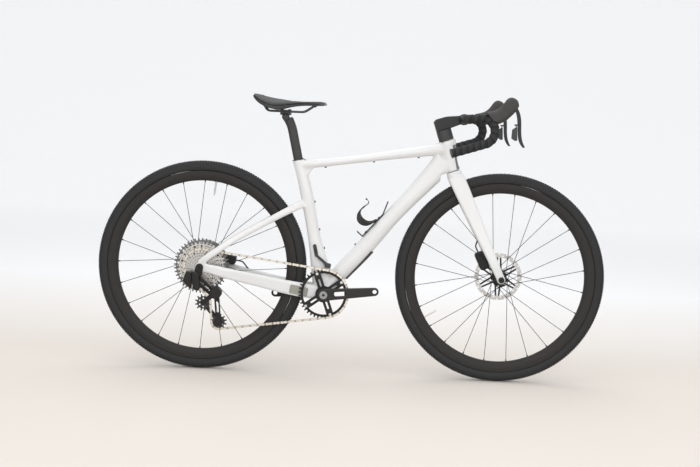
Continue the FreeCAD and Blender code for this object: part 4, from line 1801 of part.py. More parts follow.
def front_hose(fork_solid, body):
    """Brake hose from the left fork leg down into the caliper."""
    side = FRONT_HUB_WIDTH / 2 - ROTOR_INSET
    top = FRONT_AXLE + heading(FRONT_CALIPER_ANGLE) * ROTOR_RADIUS
    leg = Vector(CROWN - FRONT_AXLE).normalize()
    start = top + leg * (CALIPER_LENGTH / 2 - REST_GAP) + SIDE * side
    middle = start + leg * (HOSE_BEND_RADIUS * 1.5)
    run = steer_point(0, -CROWN_HEIGHT * 0.5) - FRONT_AXLE
    end = FRONT_AXLE + run * 0.42 + SIDE * (FRONT_HUB_WIDTH / 2)
    hose = pipe([start, middle, end], (HOSE_BEND_RADIUS,), HOSE_RADIUS)
    pieces = cut(hose, [fork_solid, body]).Solids
    return max(pieces, key=lambda piece: piece.Volume)


def rear_hose(frame_solid, body):
    """Brake hose from the rear caliper forwards into the left chainstay."""
    run = BOTTOM_BRACKET - REAR_AXLE
    way = Vector(run).normalize()
    side = REAR_HUB_WIDTH / 2 - ROTOR_INSET
    start = REAR_AXLE + heading(REAR_CALIPER_ANGLE) * ROTOR_RADIUS + way * (CALIPER_LENGTH / 2 - REST_GAP) + SIDE * side
    middle = start + way * (HOSE_BEND_RADIUS * 1.5)
    end = REAR_AXLE + run * 0.4 + SIDE * (REAR_HUB_WIDTH / 2 * 0.68)
    hose = pipe([start, middle, end], (HOSE_BEND_RADIUS,), HOSE_RADIUS)
    pieces = cut(hose, [frame_solid, body]).Solids
    return max(pieces, key=lambda piece: piece.Volume)


def wheel(name, axle, left, right, width, angle, drive):
    save(name + "_tyre", tyre(axle))
    save(name + "_rim", rim(axle, left, right, angle))
    save(name + "_spokes", spokes(axle, left, right, angle))
    save(name + "_hub", hub(axle, left, right, width, drive, angle))
    save(name + "_valve", valve(axle, angle))
    save(name + "_rotor", rotor(axle, width))


def main():
    os.makedirs("parts", exist_ok=True)
    tubes = {"head": head_tube(), "down": down_tube(), "top": top_tube(), "seat": seat_tube()}
    bosses = boss_places(tubes)
    frame_solid = frame(tubes, bosses)
    fork_solid = fork()
    save("frame", frame_solid)
    save("fork", fork_solid)
    save("headset_bearings", headset_bearings())
    save("seat_clamp", seat_clamp())
    save("down_tube_guard", down_tube_guard(frame_solid))
    save("chainstay_plate", chainstay_plate(frame_solid))
    save("headset_spacers", headset_spacers())
    save("stem", stem())
    save("handlebar", handlebar())
    save("bar_tape", both(bar_tape()))
    save("bar_plugs", both(bar_plug()))
    save("hoods", both(hood()))
    save("brake_lever_right", brake_lever())
    save("brake_lever_left", mirrored(brake_lever()))
    save("shift_paddle_right", shift_paddle())
    save("shift_paddle_left", mirrored(shift_paddle()))
    wheel("front", FRONT_AXLE, FRONT_FLANGE_LEFT, FRONT_FLANGE_RIGHT, FRONT_HUB_WIDTH, FRONT_VALVE_ANGLE, False)
    wheel("rear", REAR_AXLE, REAR_FLANGE_LEFT, REAR_FLANGE_RIGHT, REAR_HUB_WIDTH, REAR_VALVE_ANGLE, True)
    fork_end = FRONT_HUB_WIDTH / 2 + FORK_LEG_WIDTH
    save("front_axle", through_axle(FRONT_AXLE, fork_end, -fork_end))
    save("rear_axle", [through_axle(REAR_AXLE, HANGER_OUTER, -HANGER_OUTER - HANGER_THICKNESS), axle_tube()])
    front_caliper = caliper(FRONT_AXLE, FRONT_HUB_WIDTH, FRONT_CALIPER_ANGLE, FRONT_CALIPER_TURN, fork_solid)
    rear_caliper = caliper(REAR_AXLE, REAR_HUB_WIDTH, REAR_CALIPER_ANGLE, REAR_CALIPER_TURN, frame_solid)
    save("front_caliper", front_caliper)
    save("rear_caliper", rear_caliper)
    save("front_hose", front_hose(fork_solid, front_caliper[0]))
    save("rear_hose", rear_hose(frame_solid, rear_caliper[0]))
    turn, count = cage_turn()
    pins, seats = chain_places(turn, count)
    guide, tension = pulley_centres(turn)
    links = chain(pins)
    save("chain", links)
    save("chainring", eased(chainring(seats[0]), BOTTOM_BRACKET, RING_TEETH, pins, links))
    save("chainring_spider", chainring_spider())
    save("chainring_bolts", chainring_bolts())
    save("crank_spindle", crank_spindle())
    save("crank_arm_right", crank_arm(CRANK_WAY, -1))
    save("crank_arm_left", crank_arm(-CRANK_WAY, 1))
    save("crank_caps", crank_caps())
    save("bottom_bracket_cups", bottom_bracket_cups())
    cogs = cassette_cogs(seats[3])
    cogs[COG_IN_USE] = eased(cogs[COG_IN_USE], REAR_AXLE, COG_TEETH[COG_IN_USE], pins, links)
    save("cassette_cogs", cogs)
    save("cassette_carrier", cassette_carrier())
    save("freehub", freehub())
    motor_body = derailleur_knuckle()
    save("derailleur_knuckle", motor_body)
    save("derailleur_battery", derailleur_battery())
    save("derailleur_links", derailleur_links(motor_body))
    save("derailleur_cage", derailleur_cage(turn))
    save("guide_pulley", eased(pulley(guide, seats[2]), guide, PULLEY_TEETH, pins, links))
    save("tension_pulley", eased(pulley(tension, seats[1]), tension, PULLEY_TEETH, pins, links))
    save("seatpost", seatpost())
    rails = saddle_rails()
    pad, shell = saddle(rails)
    save("saddle_rails", rails)
    save("saddle_clamp", saddle_clamp())
    save("saddle_pad", pad)
    save("saddle_shell", shell)
    screws = frame_bolts(bosses)
    save("frame_bolts", screws)
    save("bottle_cage", bottle_cage(bosses, frame_solid, screws))
    save("chain_guide", chain_guide(bosses, frame_solid))


main()
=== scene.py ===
import json
import math

import bmesh
import bpy
import numpy as np
from bpy.props import FloatProperty, FloatVectorProperty, IntProperty, PointerProperty
from mathutils import Matrix, Vector


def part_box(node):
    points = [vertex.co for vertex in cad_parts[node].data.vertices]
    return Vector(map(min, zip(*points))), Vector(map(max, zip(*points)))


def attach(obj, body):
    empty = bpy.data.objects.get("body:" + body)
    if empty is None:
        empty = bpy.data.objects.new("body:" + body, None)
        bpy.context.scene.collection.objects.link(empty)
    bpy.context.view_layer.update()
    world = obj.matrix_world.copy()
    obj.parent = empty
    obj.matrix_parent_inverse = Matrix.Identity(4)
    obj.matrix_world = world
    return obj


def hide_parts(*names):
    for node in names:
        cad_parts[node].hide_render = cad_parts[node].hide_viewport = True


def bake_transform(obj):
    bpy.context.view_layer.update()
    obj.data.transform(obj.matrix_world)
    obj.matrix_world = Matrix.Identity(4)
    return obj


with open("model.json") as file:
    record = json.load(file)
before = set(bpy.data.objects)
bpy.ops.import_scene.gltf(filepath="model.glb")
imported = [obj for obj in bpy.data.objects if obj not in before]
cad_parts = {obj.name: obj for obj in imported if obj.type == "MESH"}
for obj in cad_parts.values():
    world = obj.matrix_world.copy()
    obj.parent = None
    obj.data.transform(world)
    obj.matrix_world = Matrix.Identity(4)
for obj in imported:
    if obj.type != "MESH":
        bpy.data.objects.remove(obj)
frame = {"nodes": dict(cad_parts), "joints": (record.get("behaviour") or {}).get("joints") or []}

bl_info = {
    "name": "Gravel Bicycle Looks",
    "version": (1, 0, 0),
    "blender": (4, 5, 0),
    "location": "View3D > Sidebar > Bicycle",
    "description": "Surfaces, soft pieces, tread, wrap and stage for a gravel bicycle",
    "category": "Object",
}

NODES = frame["nodes"]
JOINTS = {joint["name"]: joint for joint in frame["joints"]}

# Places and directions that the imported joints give, in metres
REAR_AXLE = Vector(JOINTS["rear_wheel_spin"]["pos_m"])
FRONT_AXLE = Vector(JOINTS["front_wheel_spin"]["pos_m"])
CRANK_AXIS = Vector(JOINTS["crank_spin"]["pos_m"])
HEAD_FOOT = Vector(JOINTS["steering"]["pos_m"])
STEER_UP = Vector(JOINTS["steering"]["axis"])
STEER_FRONT = Vector((STEER_UP.z, 0.0, -STEER_UP.x))
SEAT_WAY = Vector(JOINTS["seatpost_height"]["axis"])
SEAT_TUBE_LENGTH = 0.454
SEAT_TOP = CRANK_AXIS + SEAT_WAY * SEAT_TUBE_LENGTH

# Copies of CAD meshes, and the grids that round them over
MERGE_DISTANCE = 1e-6
FORK_GRID_SHARE = 0.8
STEM_GRID = 0.0012
CRANK_GRID = 0.0011
DERAILLEUR_GRID = 0.0009
CALIPER_GRID = 0.0008
POST_GRID = 0.0018
HOOD_PASSES = 6
ROUND_PASSES = 4
CRISP_PASSES = 3
COVER_PASSES = 2
EASE_FACTOR = 0.5

# The seatpost's form, at rest and lowered, that backs the seat tube's thin wall below its rim
POST_DROPS = (0.0, 0.044)
POST_CUT_DEPTH = 0.004

# Dark panel on the front of the head tube
PANEL_SLOPE = 0.11
PANEL_FRONT = 0.009
PANEL_LOW = 0.004
PANEL_HIGH = 0.085

# Tyre: rows of knobs as lean from the crown in degrees, shift in pitches and share of the knob's length
KNOB_ROWS = ((0, 0.0, 0.62), (14, 0.5, 0.5), (29, 0.0, 0.5), (46, 0.5, 0.66), (62, 0.0, 0.55))
CASING_STEPS = 200
CASING_ARC_STEPS = 36
CASING_ARC_HALF = math.radians(128)
BEAD_SHARE = 0.72
BEAD_HALF_WIDTH = 0.0108
TYRE_RIBS = 2600.0
TYRE_RIB_SHARE = 0.3

# Middle of the left half of the bar, with the radius of each bend
BAR_CORNERS = ((0.35442, 0.078, 0.87516), (0.35442, 0.186, 0.87516), (0.43442, 0.198, 0.88116),
               (0.44042, 0.214, 0.80916), (0.30442, 0.228, 0.76516))
BAR_BENDS = (0.034, 0.04, 0.044)
BAR_STEP = 0.0017
BEND_LEAST_STEPS = 4
TAPE_SIDES = 30
TAPE_LAP_SHARE = 0.14

# Chain: width that tells outer links from inner ones, and the runs that follow the cage
OUTER_LINK_WIDTH = 0.0045
SLACK_TOP = 0.252
SLACK_FRONT = -0.068
RISE_TOP = 0.3
RISE_FRONT = -0.46
SLACK_BEND = ((-0.09, -0.045, 0.194), (-0.4, -0.038, 0.146))
RISE_BEND = ((-0.528, -0.038, 0.3), (-0.478, -0.038, 0.253))

# Cassette, crank caps and discs: patterns are scaled per metre, and the recesses are counted round the axle;
# the cassette's recesses and the cap's key socket are painted shade
LARGEST_COG_FACE = -0.0296
COG_CHANGE = 700.0
COG_CHANGE_SHARE = 0.6
RECESS_RADIUS = 0.078
RECESS_COUNT = 30.0
RECESS_TWIST = 900.0
RECESS_BANDS = 760.0
RECESS_SWIRL_LEVEL = 0.55
RECESS_BAND_LEVEL = 0.1
CAP_SOCKET_RADIUS = 0.0045
ROTOR_TRACK_RADIUS = 0.0655
ROTOR_RINGS = 900.0
ROTOR_DRIFT = 20.0

# Saddle cover: simulation, groove as shares of its length, and seam
SWELL_FRAMES = 20
HELD_SLOPE = -0.2
GROOVE_WIDTH = 0.011
GROOVE_TAIL_SHARE = 0.12
GROOVE_TAIL_FADE_SHARE = 0.2
GROOVE_NOSE_SHARE = 0.92
GROOVE_NOSE_FADE_SHARE = 0.25
SEAM_POINTS = 41
SEAM_HALF_WIDTH = 0.045
SEAM_FROM_TAIL = 0.02802
SEAM_SWEEP_SHARE = 0.18
SEAM_DROP = 0.05
SEAM_LIFT = 0.0003
THREAD_RADIUS = 0.0005
THREAD_SIDES = 6
THREAD_SHARE = 0.64

# Stage: lights as name, place, turn, size and power
LIGHTS = (("key", (-1.6, -2.6, 3.4), (0.62, 0.0, -0.5), 3.2, 36.0),
          ("fill", (2.6, -2.4, 2.2), (0.85, 0.0, 0.82), 3.0, 22.0),
          ("front", (0.2, -4.4, 1.6), (1.4, 0.0, 0.0), 2.6, 50.0),
          ("top", (0.0, 0.6, 3.8), (-0.12, 0.0, 0.0), 3.6, 66.0))
SKY_COLOUR = (0.95, 0.97, 1.0, 1.0)
SKY_STRENGTH = 0.87
FLOOR_HALF = 14.0
BACKDROP_START = 8.0
BACKDROP_BEND = 2.6
BACKDROP_STEPS = 9
WALL_START = 0.3
WALL_FADE = 2.1
GLOW_START = 0.5
GLOW_FADE = 7.0
SENSOR_WIDTH = 36.0
VIEW_END = 50.0

# Relief of surface grain, and the shine of dull blacks
FINE_RELIEF = 0.0002
RIB_RELIEF = 0.0004
COARSE_RELIEF = 0.0005
DULL_SHINE = 0.3

# Tones of the finishes, and of painted shade: darkest and lightest
PAINT_SHADE = 0.965
PANEL_GREY = (0.11, 0.11, 0.112)
SOFT_BLACK = ((0.016, 0.016, 0.017), (0.03, 0.03, 0.031))
DEEP_BLACK = ((0.01, 0.01, 0.01), (0.022, 0.022, 0.022))
WARM_BLACK = ((0.009, 0.0085, 0.008), (0.02, 0.019, 0.018))
LEVER_BLACK = ((0.014, 0.014, 0.015), (0.028, 0.028, 0.029))
MOULDED_BLACK = ((0.018, 0.018, 0.019), (0.032, 0.032, 0.033))
PLAIN_BLACK = ((0.02, 0.02, 0.02), (0.04, 0.04, 0.04))
PLATE_GREY = ((0.22, 0.22, 0.19), (0.32, 0.32, 0.28))
DARK_FIBRE = ((0.011, 0.01, 0.0095), (0.024, 0.022, 0.021))
POST_FIBRE = ((0.026, 0.0255, 0.025), (0.046, 0.045, 0.044))
RIM_FIBRE = ((0.014, 0.0125, 0.0115), (0.025, 0.0225, 0.021))
TYRE_TONES = ((0.018, 0.018, 0.018), (0.034, 0.034, 0.035))
VALVE_STEEL = ((0.45, 0.44, 0.42), (0.68, 0.67, 0.65))
BOLT_STEEL = ((0.42, 0.42, 0.41), (0.62, 0.62, 0.6))
BEARING_STEEL = ((0.4, 0.4, 0.4), (0.6, 0.6, 0.6))
RAIL_STEEL = ((0.05, 0.05, 0.05), (0.09, 0.09, 0.09))
INNER_LINK_STEEL = ((0.27, 0.25, 0.22), (0.38, 0.355, 0.32))
OUTER_LINK_STEEL = ((0.54, 0.5, 0.44), (0.74, 0.7, 0.63))
COG_STEEL = ((0.36, 0.35, 0.335), (0.74, 0.72, 0.69))
# Painted shade in the cassette's recesses
RECESS_SHADE = (0.06, 0.058, 0.055)
LARGEST_COG_GREY = (0.13, 0.13, 0.13)
CAP_GREY = ((0.2, 0.21, 0.2), (0.3, 0.31, 0.3))
# Painted shade in the crank cap's key socket
CAP_SOCKET_SHADE = (0.012, 0.012, 0.012)
ROTOR_STEEL = ((0.36, 0.35, 0.34), (0.6, 0.59, 0.57))
ROTOR_SPIDER = (0.028, 0.028, 0.03)
HOOD_TONES = ((0.032, 0.031, 0.03), (0.05, 0.048, 0.046))
TAPE_TONES = ((0.018, 0.018, 0.019), (0.036, 0.036, 0.037))
# Painted shadow where the tape's turns lap
TAPE_SHADOW = (0.006, 0.006, 0.006)
COVER_TONES = ((0.026, 0.0255, 0.025), (0.044, 0.043, 0.042))
THREAD_TONES = ((0.05, 0.05, 0.052), (0.09, 0.09, 0.092))
FLOOR_TONES = ((0.6, 0.552, 0.5), (0.63, 0.58, 0.528))
BACKDROP_TONE = (0.79, 0.786, 0.784)
BACKDROP_GLOW = ((0.0, 0.0, 0.0), (0.2, 0.2, 0.2))


class FrameLook(bpy.types.PropertyGroup):
    voxel: FloatProperty(name="Blend Size", description="Grid that rounds the tube joints over",
                         default=0.003, min=0.001, unit="LENGTH")
    passes: IntProperty(name="Smoothing Passes", description="Passes that ease the joints",
                        default=9, min=0)
    paint: FloatVectorProperty(name="Paint", description="Frame colour", default=(0.65, 0.65, 0.645),
                               subtype="COLOR", min=0, max=1)


class TyreLook(bpy.types.PropertyGroup):
    knob_count: IntProperty(name="Knobs Round", description="Knobs in one row round the tyre",
                            default=124, min=8)
    knob_length: FloatProperty(name="Knob Length", description="Along the tyre",
                               default=0.0095, unit="LENGTH")
    knob_width: FloatProperty(name="Knob Width", description="Across the tyre",
                              default=0.0042, unit="LENGTH")
    knob_height: FloatProperty(name="Knob Height", description="Tread depth",
                               default=0.0016, unit="LENGTH")
    ring_radius: FloatProperty(name="Ring Radius", description="Wheel axis to the middle of the tyre's tube",
                               default=0.331, unit="LENGTH")
    casing_radius: FloatProperty(name="Casing Radius", description="Tube radius under the tread",
                                 default=0.0185, unit="LENGTH")


class CockpitLook(bpy.types.PropertyGroup):
    tape_radius: FloatProperty(name="Tape Radius", description="Outside of the wrapped bar",
                               default=0.0151, unit="LENGTH")
    tape_pitch: FloatProperty(name="Tape Pitch", description="Advance of each turn of tape",
                              default=0.021, unit="LENGTH")
    tape_step: FloatProperty(name="Tape Step", description="Rise of each turn's edge over the next",
                             default=0.0016, unit="LENGTH")
    hood_voxel: FloatProperty(name="Hood Grid", description="Grid that rounds the hoods",
                              default=0.0014, unit="LENGTH")


class SaddleLook(bpy.types.PropertyGroup):
    grid: FloatProperty(name="Cover Grid", description="Grid of the cover's mesh",
                        default=0.004, unit="LENGTH")
    slack: FloatProperty(name="Slack", description="How far the cover starts inside its full shape",
                         default=0.0015, unit="LENGTH")
    swell: FloatProperty(name="Swell", description="Furthest that the padding may push the cover",
                         default=0.0024, unit="LENGTH")
    pressure: FloatProperty(name="Pressure", description="Push of the padding", default=4.0, min=0)
    channel: FloatProperty(name="Channel Depth", description="Depth of the middle groove",
                           default=0.0035, unit="LENGTH")
    fill: FloatProperty(name="Fill", description="How full the padding is", default=0.85, min=0, max=1)
    stitch_gap: FloatProperty(name="Stitch Gap", description="Distance from stitch to stitch",
                              default=0.0052, unit="LENGTH")


class StageLook(bpy.types.PropertyGroup):
    eye: FloatVectorProperty(name="Eye", description="Where the camera stands", subtype="TRANSLATION",
                             default=(0.03338, -4.07433, 0.82666), unit="LENGTH")
    yaw: FloatProperty(name="Yaw", description="Turn of the view",
                       default=math.radians(0.5839), subtype="ANGLE")
    pitch: FloatProperty(name="Pitch", description="Rise of the view",
                         default=math.radians(-4.8835), subtype="ANGLE")
    roll: FloatProperty(name="Roll", description="Lean of the view",
                        default=math.radians(2.507), subtype="ANGLE")
    lens: FloatProperty(name="Lens", description="Focal length in millimetres", default=62.63, min=1)


def arithmetic(operation, reflected=False):
    """Method of a flow that stands for one of Python's operators."""
    def method(flow, other):
        values = (other, flow) if reflected else (flow, other)
        return flow.wiring.maths(operation, *values)
    return method


class Flow:
    """A socket in a node tree that takes plain arithmetic."""

    def __init__(self, wiring, socket):
        self.wiring = wiring
        self.socket = socket

    __add__ = arithmetic("ADD")
    __radd__ = arithmetic("ADD", reflected=True)
    __sub__ = arithmetic("SUBTRACT")
    __rsub__ = arithmetic("SUBTRACT", reflected=True)
    __mul__ = arithmetic("MULTIPLY")
    __rmul__ = arithmetic("MULTIPLY", reflected=True)
    __truediv__ = arithmetic("DIVIDE")
    __rtruediv__ = arithmetic("DIVIDE", reflected=True)
    __gt__ = arithmetic("GREATER_THAN")
    __lt__ = arithmetic("LESS_THAN")

    def call(self, operation, *others):
        """Any other operation of a Math node."""
        return self.wiring.maths(operation, self, *others)

    def clamped(self):
        return self.call("MAXIMUM", 0.0).call("MINIMUM", 1.0)

    def beside(self, output):
        """Another output of the same node."""
        return Flow(self.wiring, self.socket.node.outputs[output])


class Wiring:
    """A node tree under construction."""

    def __init__(self, tree):
        self.tree = tree

    def feed(self, socket, value):
        """Links one flow or a list of flows to a socket, or sets the socket's value."""
        if isinstance(value, Flow):
            self.tree.links.new(value.socket, socket)
        elif isinstance(value, list):
            for flow in value:
                self.tree.links.new(flow.socket, socket)
        else:
            socket.default_value = value

    def node(self, kind, output=0, settings=None, ordered=(), **inputs):
        """Any node: its settings, its inputs in order or by name, and the output that is wanted."""
        node = self.tree.nodes.new(kind)
        for key, value in (settings or {}).items():
            setattr(node, key, value)
        for socket, value in zip(node.inputs, ordered):
            if value is not None:
                self.feed(socket, value)
        for key, value in inputs.items():
            self.feed(node.inputs[key.replace("_", " ")], value)
        return Flow(self, node.outputs[output])

    def maths(self, operation, *values):
        return self.node("ShaderNodeMath", settings={"operation": operation}, ordered=values)


class Shade(Wiring):
    """A material under construction."""

    def __init__(self, name):
        self.material = bpy.data.materials.new(name)
        self.material.use_nodes = True
        super().__init__(self.material.node_tree)
        self.tree.nodes.clear()
        output = self.tree.nodes.new("ShaderNodeOutputMaterial")
        self.surface = self.tree.nodes.new("ShaderNodeBsdfPrincipled")
        self.tree.links.new(self.surface.outputs[0], output.inputs["Surface"])

    def place(self):
        return self.node("ShaderNodeTexCoord", "Object")

    def axes(self):
        parts = self.node("ShaderNodeSeparateXYZ", Vector=self.place())
        return [parts.beside(axis) for axis in "XYZ"]

    def spokes(self, axle):
        """Distances along X and Z from an axle, and the distance from its axis."""
        x, _, z = self.axes()
        across = x - axle.x
        rise = z - axle.z
        return across, rise, (across * across + rise * rise).call("SQRT")

    def stretched(self, scale):
        return self.node("ShaderNodeMapping", Vector=self.place(), Scale=scale)

    def attribute(self, name):
        return self.node("ShaderNodeAttribute", "Fac", {"attribute_name": name})

    def noise(self, scale, detail=3.0, vector=None):
        return self.node("ShaderNodeTexNoise", "Fac", Vector=vector or self.place(),
                         Scale=scale, Detail=detail)

    def cells(self, scale):
        return self.node("ShaderNodeTexVoronoi", "Distance", Vector=self.place(), Scale=scale)

    def mix(self, factor, first, second):
        """Blend of two colours, which are the seventh and eighth inputs of a Mix node."""
        colours = [tone if isinstance(tone, Flow) else (*tone, 1.0) for tone in (first, second)]
        return self.node("ShaderNodeMix", 2, {"data_type": "RGBA"}, (factor, *[None] * 5, *colours))

    def tint(self, tones, scale):
        return self.mix(self.noise(scale), *tones)

    def set(self, **inputs):
        for key, value in inputs.items():
            self.feed(self.surface.inputs[key.replace("_", " ")], value)

    def bump(self, height, strength, distance):
        self.set(Normal=self.node("ShaderNodeBump", Strength=strength, Distance=distance, Height=height))


def grained(name, tones, scale, detail, rough, spread, stretch=None, **finish):
    """Material whose tone and roughness follow one grain."""
    shade = Shade(name)
    grain = shade.noise(scale, detail, shade.stretched(stretch) if stretch else None)
    shade.set(Base_Color=shade.mix(grain, *tones), Roughness=rough + grain * spread, **finish)
    return shade, grain


def frame_paint(colour):
    """Pale coat with a dark panel on the front of the head tube."""
    shade = Shade("frame_paint")
    shaded = tuple(channel * PAINT_SHADE for channel in colour)
    x, _, z = shade.axes()
    front = (x - HEAD_FOOT.x) * STEER_FRONT.x + (z - HEAD_FOOT.z) * STEER_FRONT.z
    rise = (x - HEAD_FOOT.x) * STEER_UP.x + (z - HEAD_FOOT.z) * STEER_UP.z
    panel = (front > rise * PANEL_SLOPE + PANEL_FRONT) * (rise > PANEL_LOW) * (rise < PANEL_HIGH)
    coat = shade.tint((shaded, colour), scale=4.0)
    shade.set(Base_Color=shade.mix(panel, coat, PANEL_GREY),
              Roughness=0.26 + shade.noise(scale=40.0) * 0.1, Coat_Weight=0.35, Coat_Roughness=0.12)
    shade.bump(shade.noise(scale=420.0, detail=1.0), strength=0.05, distance=FINE_RELIEF)
    return shade.material


def satin_fibre(name, tones):
    shade, _ = grained(name, tones, scale=60.0, detail=6.0, rough=0.36, spread=0.16,
                       stretch=(1.0, 6.0, 1.0), Specular_IOR_Level=DULL_SHINE)
    shade.bump(shade.noise(scale=700.0, detail=2.0), strength=0.04, distance=FINE_RELIEF)
    return shade.material


def rim_fibre():
    shade, _ = grained("rim_fibre", RIM_FIBRE, scale=90.0, detail=5.0, rough=0.5, spread=0.18,
                       Specular_IOR_Level=DULL_SHINE)
    shade.bump(shade.noise(scale=900.0, detail=2.0), strength=0.05, distance=FINE_RELIEF)
    return shade.material


def tyre_rubber(end, axle):
    """Rubber with fine ribs round the wheel."""
    shade, _ = grained("tyre_rubber_" + end, TYRE_TONES, scale=160.0, detail=5.0, rough=0.72, spread=0.2,
                       Specular_IOR_Level=DULL_SHINE)
    _, _, radius = shade.spokes(axle)
    ribs = (radius * TYRE_RIBS).call("SINE") * TYRE_RIB_SHARE
    shade.bump(ribs + shade.noise(scale=1500.0, detail=2.0), strength=0.18, distance=RIB_RELIEF)
    return shade.material


def anodised(name, tones, rough):
    shade, _ = grained(name, tones, scale=240.0, detail=4.0, rough=rough, spread=0.14,
                       Metallic=0.2, Specular_IOR_Level=DULL_SHINE)
    shade.bump(shade.noise(scale=1600.0, detail=2.0), strength=0.05, distance=FINE_RELIEF)
    return shade.material


def bright_steel(name, tones, rough):
    shade, brush = grained(name, tones, scale=120.0, detail=6.0, rough=rough, spread=0.16,
                           stretch=(1.0, 1.0, 8.0), Metallic=1.0)
    shade.bump(brush, strength=0.05, distance=FINE_RELIEF)
    return shade.material


def chain_steel():
    """Plates whose outer links are brighter than the inner ones."""
    shade = Shade("chain_steel")
    brush = shade.noise(scale=300.0, detail=4.0)
    inner = shade.mix(brush, *INNER_LINK_STEEL)
    outer = shade.mix(brush, *OUTER_LINK_STEEL)
    shade.set(Base_Color=shade.mix(shade.attribute("outer"), inner, outer),
              Roughness=0.22 + brush * 0.16, Metallic=1.0)
    shade.bump(brush, strength=0.05, distance=FINE_RELIEF)
    return shade.material


def cassette_steel():
    """Steel that changes from cog to cog, with painted shade in its recesses and a darker largest cog."""
    shade = Shade("cassette_steel")
    _, y, _ = shade.axes()
    across, rise, radius = shade.spokes(REAR_AXLE)
    brush = shade.noise(scale=150.0, detail=5.0)
    layer = shade.node("ShaderNodeCombineXYZ", X=0.5, Y=y * COG_CHANGE, Z=0.5)
    step = shade.noise(scale=1.0, detail=0.0, vector=layer)
    bright = shade.mix(brush * (1.0 - COG_CHANGE_SHARE) + step * COG_CHANGE_SHARE, *COG_STEEL)
    # Mask of the painted shade in the cogs' recesses
    angle = rise.call("ARCTAN2", across)
    swirl = (angle * RECESS_COUNT + radius * RECESS_TWIST).call("SINE") > RECESS_SWIRL_LEVEL
    bands = (radius * RECESS_BANDS).call("SINE") > RECESS_BAND_LEVEL
    cog = shade.mix(swirl * bands * (radius < RECESS_RADIUS), bright, RECESS_SHADE)
    largest = y > LARGEST_COG_FACE
    shade.set(Base_Color=shade.mix(largest, cog, LARGEST_COG_GREY), Roughness=0.26 + brush * 0.16,
              Metallic=1.0 - largest * 0.4)
    shade.bump(brush, strength=0.05, distance=FINE_RELIEF)
    return shade.material


def cap_metal():
    """Grey cap with painted shade in the socket of its key."""
    shade = Shade("cap_metal")
    _, _, radius = shade.spokes(CRANK_AXIS)
    bead = shade.noise(scale=240.0, detail=4.0)
    # The middle is painted shade where the key's socket is
    shade.set(Base_Color=shade.mix(radius < CAP_SOCKET_RADIUS, shade.mix(bead, *CAP_GREY), CAP_SOCKET_SHADE),
              Roughness=0.36 + bead * 0.14, Metallic=0.35)
    return shade.material


def rotor_steel(end, axle):
    """Turned steel track on a dark spider."""
    shade = Shade("rotor_steel_" + end)
    _, y, _ = shade.axes()
    _, _, radius = shade.spokes(axle)
    track = radius > ROTOR_TRACK_RADIUS
    rings = shade.node("ShaderNodeCombineXYZ", X=radius * ROTOR_RINGS, Y=y * ROTOR_DRIFT, Z=0.0)
    turned = shade.noise(scale=5.0, detail=8.0, vector=rings)
    shade.set(Base_Color=shade.mix(track, ROTOR_SPIDER, shade.mix(turned, *ROTOR_STEEL)),
              Roughness=0.3 + turned * 0.15, Metallic=0.4 + track * 0.6)
    return shade.material


def hood_rubber():
    shade = Shade("hood_rubber")
    shade.set(Base_Color=shade.tint(HOOD_TONES, scale=50.0),
              Roughness=0.56 + shade.noise(scale=90.0) * 0.2, Specular_IOR_Level=0.35)
    shade.bump(shade.cells(scale=520.0), strength=0.22, distance=COARSE_RELIEF)
    return shade.material


def tape_cloth(look):
    """Cloth with painted shadow where one turn of tape dips under the next."""
    shade = Shade("tape_cloth")
    # Share of the way up from each turn's groove, which sets the painted shadow
    crest = (shade.attribute("rise") - (look.tape_radius - look.tape_step)) / look.tape_step
    shade.set(Base_Color=shade.mix(crest, TAPE_SHADOW, shade.tint(TAPE_TONES, scale=70.0)),
              Roughness=0.62 + shade.noise(scale=120.0) * 0.2, Specular_IOR_Level=DULL_SHINE)
    shade.bump(shade.cells(scale=900.0), strength=0.3, distance=COARSE_RELIEF)
    return shade.material


def saddle_cover():
    shade = Shade("saddle_cover")
    shade.set(Base_Color=shade.tint(COVER_TONES, scale=40.0),
              Roughness=0.44 + shade.noise(scale=60.0) * 0.16, Specular_IOR_Level=0.4)
    shade.bump(shade.cells(scale=650.0), strength=0.22, distance=COARSE_RELIEF)
    return shade.material


def moulded_black():
    shade, _ = grained("moulded_black", MOULDED_BLACK, scale=300.0, detail=3.0, rough=0.42, spread=0.2)
    shade.bump(shade.noise(scale=1200.0, detail=2.0), strength=0.08, distance=FINE_RELIEF)
    return shade.material


def hose_rubber():
    shade, grain = grained("hose_rubber", PLAIN_BLACK, scale=400.0, detail=3.0, rough=0.5, spread=0.2)
    shade.bump(grain, strength=0.1, distance=FINE_RELIEF)
    return shade.material


def stitch_thread():
    shade, _ = grained("stitch_thread", THREAD_TONES, scale=900.0, detail=2.0, rough=0.7, spread=0.2)
    return shade.material


def floor_paint():
    """Warm floor that turns into a pale backdrop with a faint glow behind the object."""
    shade = Shade("floor_paint")
    _, y, _ = shade.axes()
    grain = shade.noise(scale=1.3, detail=4.0)
    wall = ((y - WALL_START) / WALL_FADE).clamped()
    glow = ((y - GLOW_START) / GLOW_FADE).clamped()
    shade.set(Base_Color=shade.mix(wall, shade.mix(grain, *FLOOR_TONES), BACKDROP_TONE),
              Roughness=0.62 + grain * 0.1,
              Emission_Color=shade.mix(glow, *BACKDROP_GLOW), Emission_Strength=1.0)
    return shade.material


def dress(material, *names):
    """Gives shown CAD nodes a surface."""
    for name in names:
        data = NODES[name].data
        data.materials.clear()
        data.materials.append(material)


def new_object(name, data):
    piece = bpy.data.objects.new(name, data)
    bpy.context.scene.collection.objects.link(piece)
    return piece


def mesh_from(name, points, faces=(), edges=()):
    data = bpy.data.meshes.new(name)
    data.from_pydata(points, edges, faces)
    data.validate()
    data.update()
    return new_object(name, data)


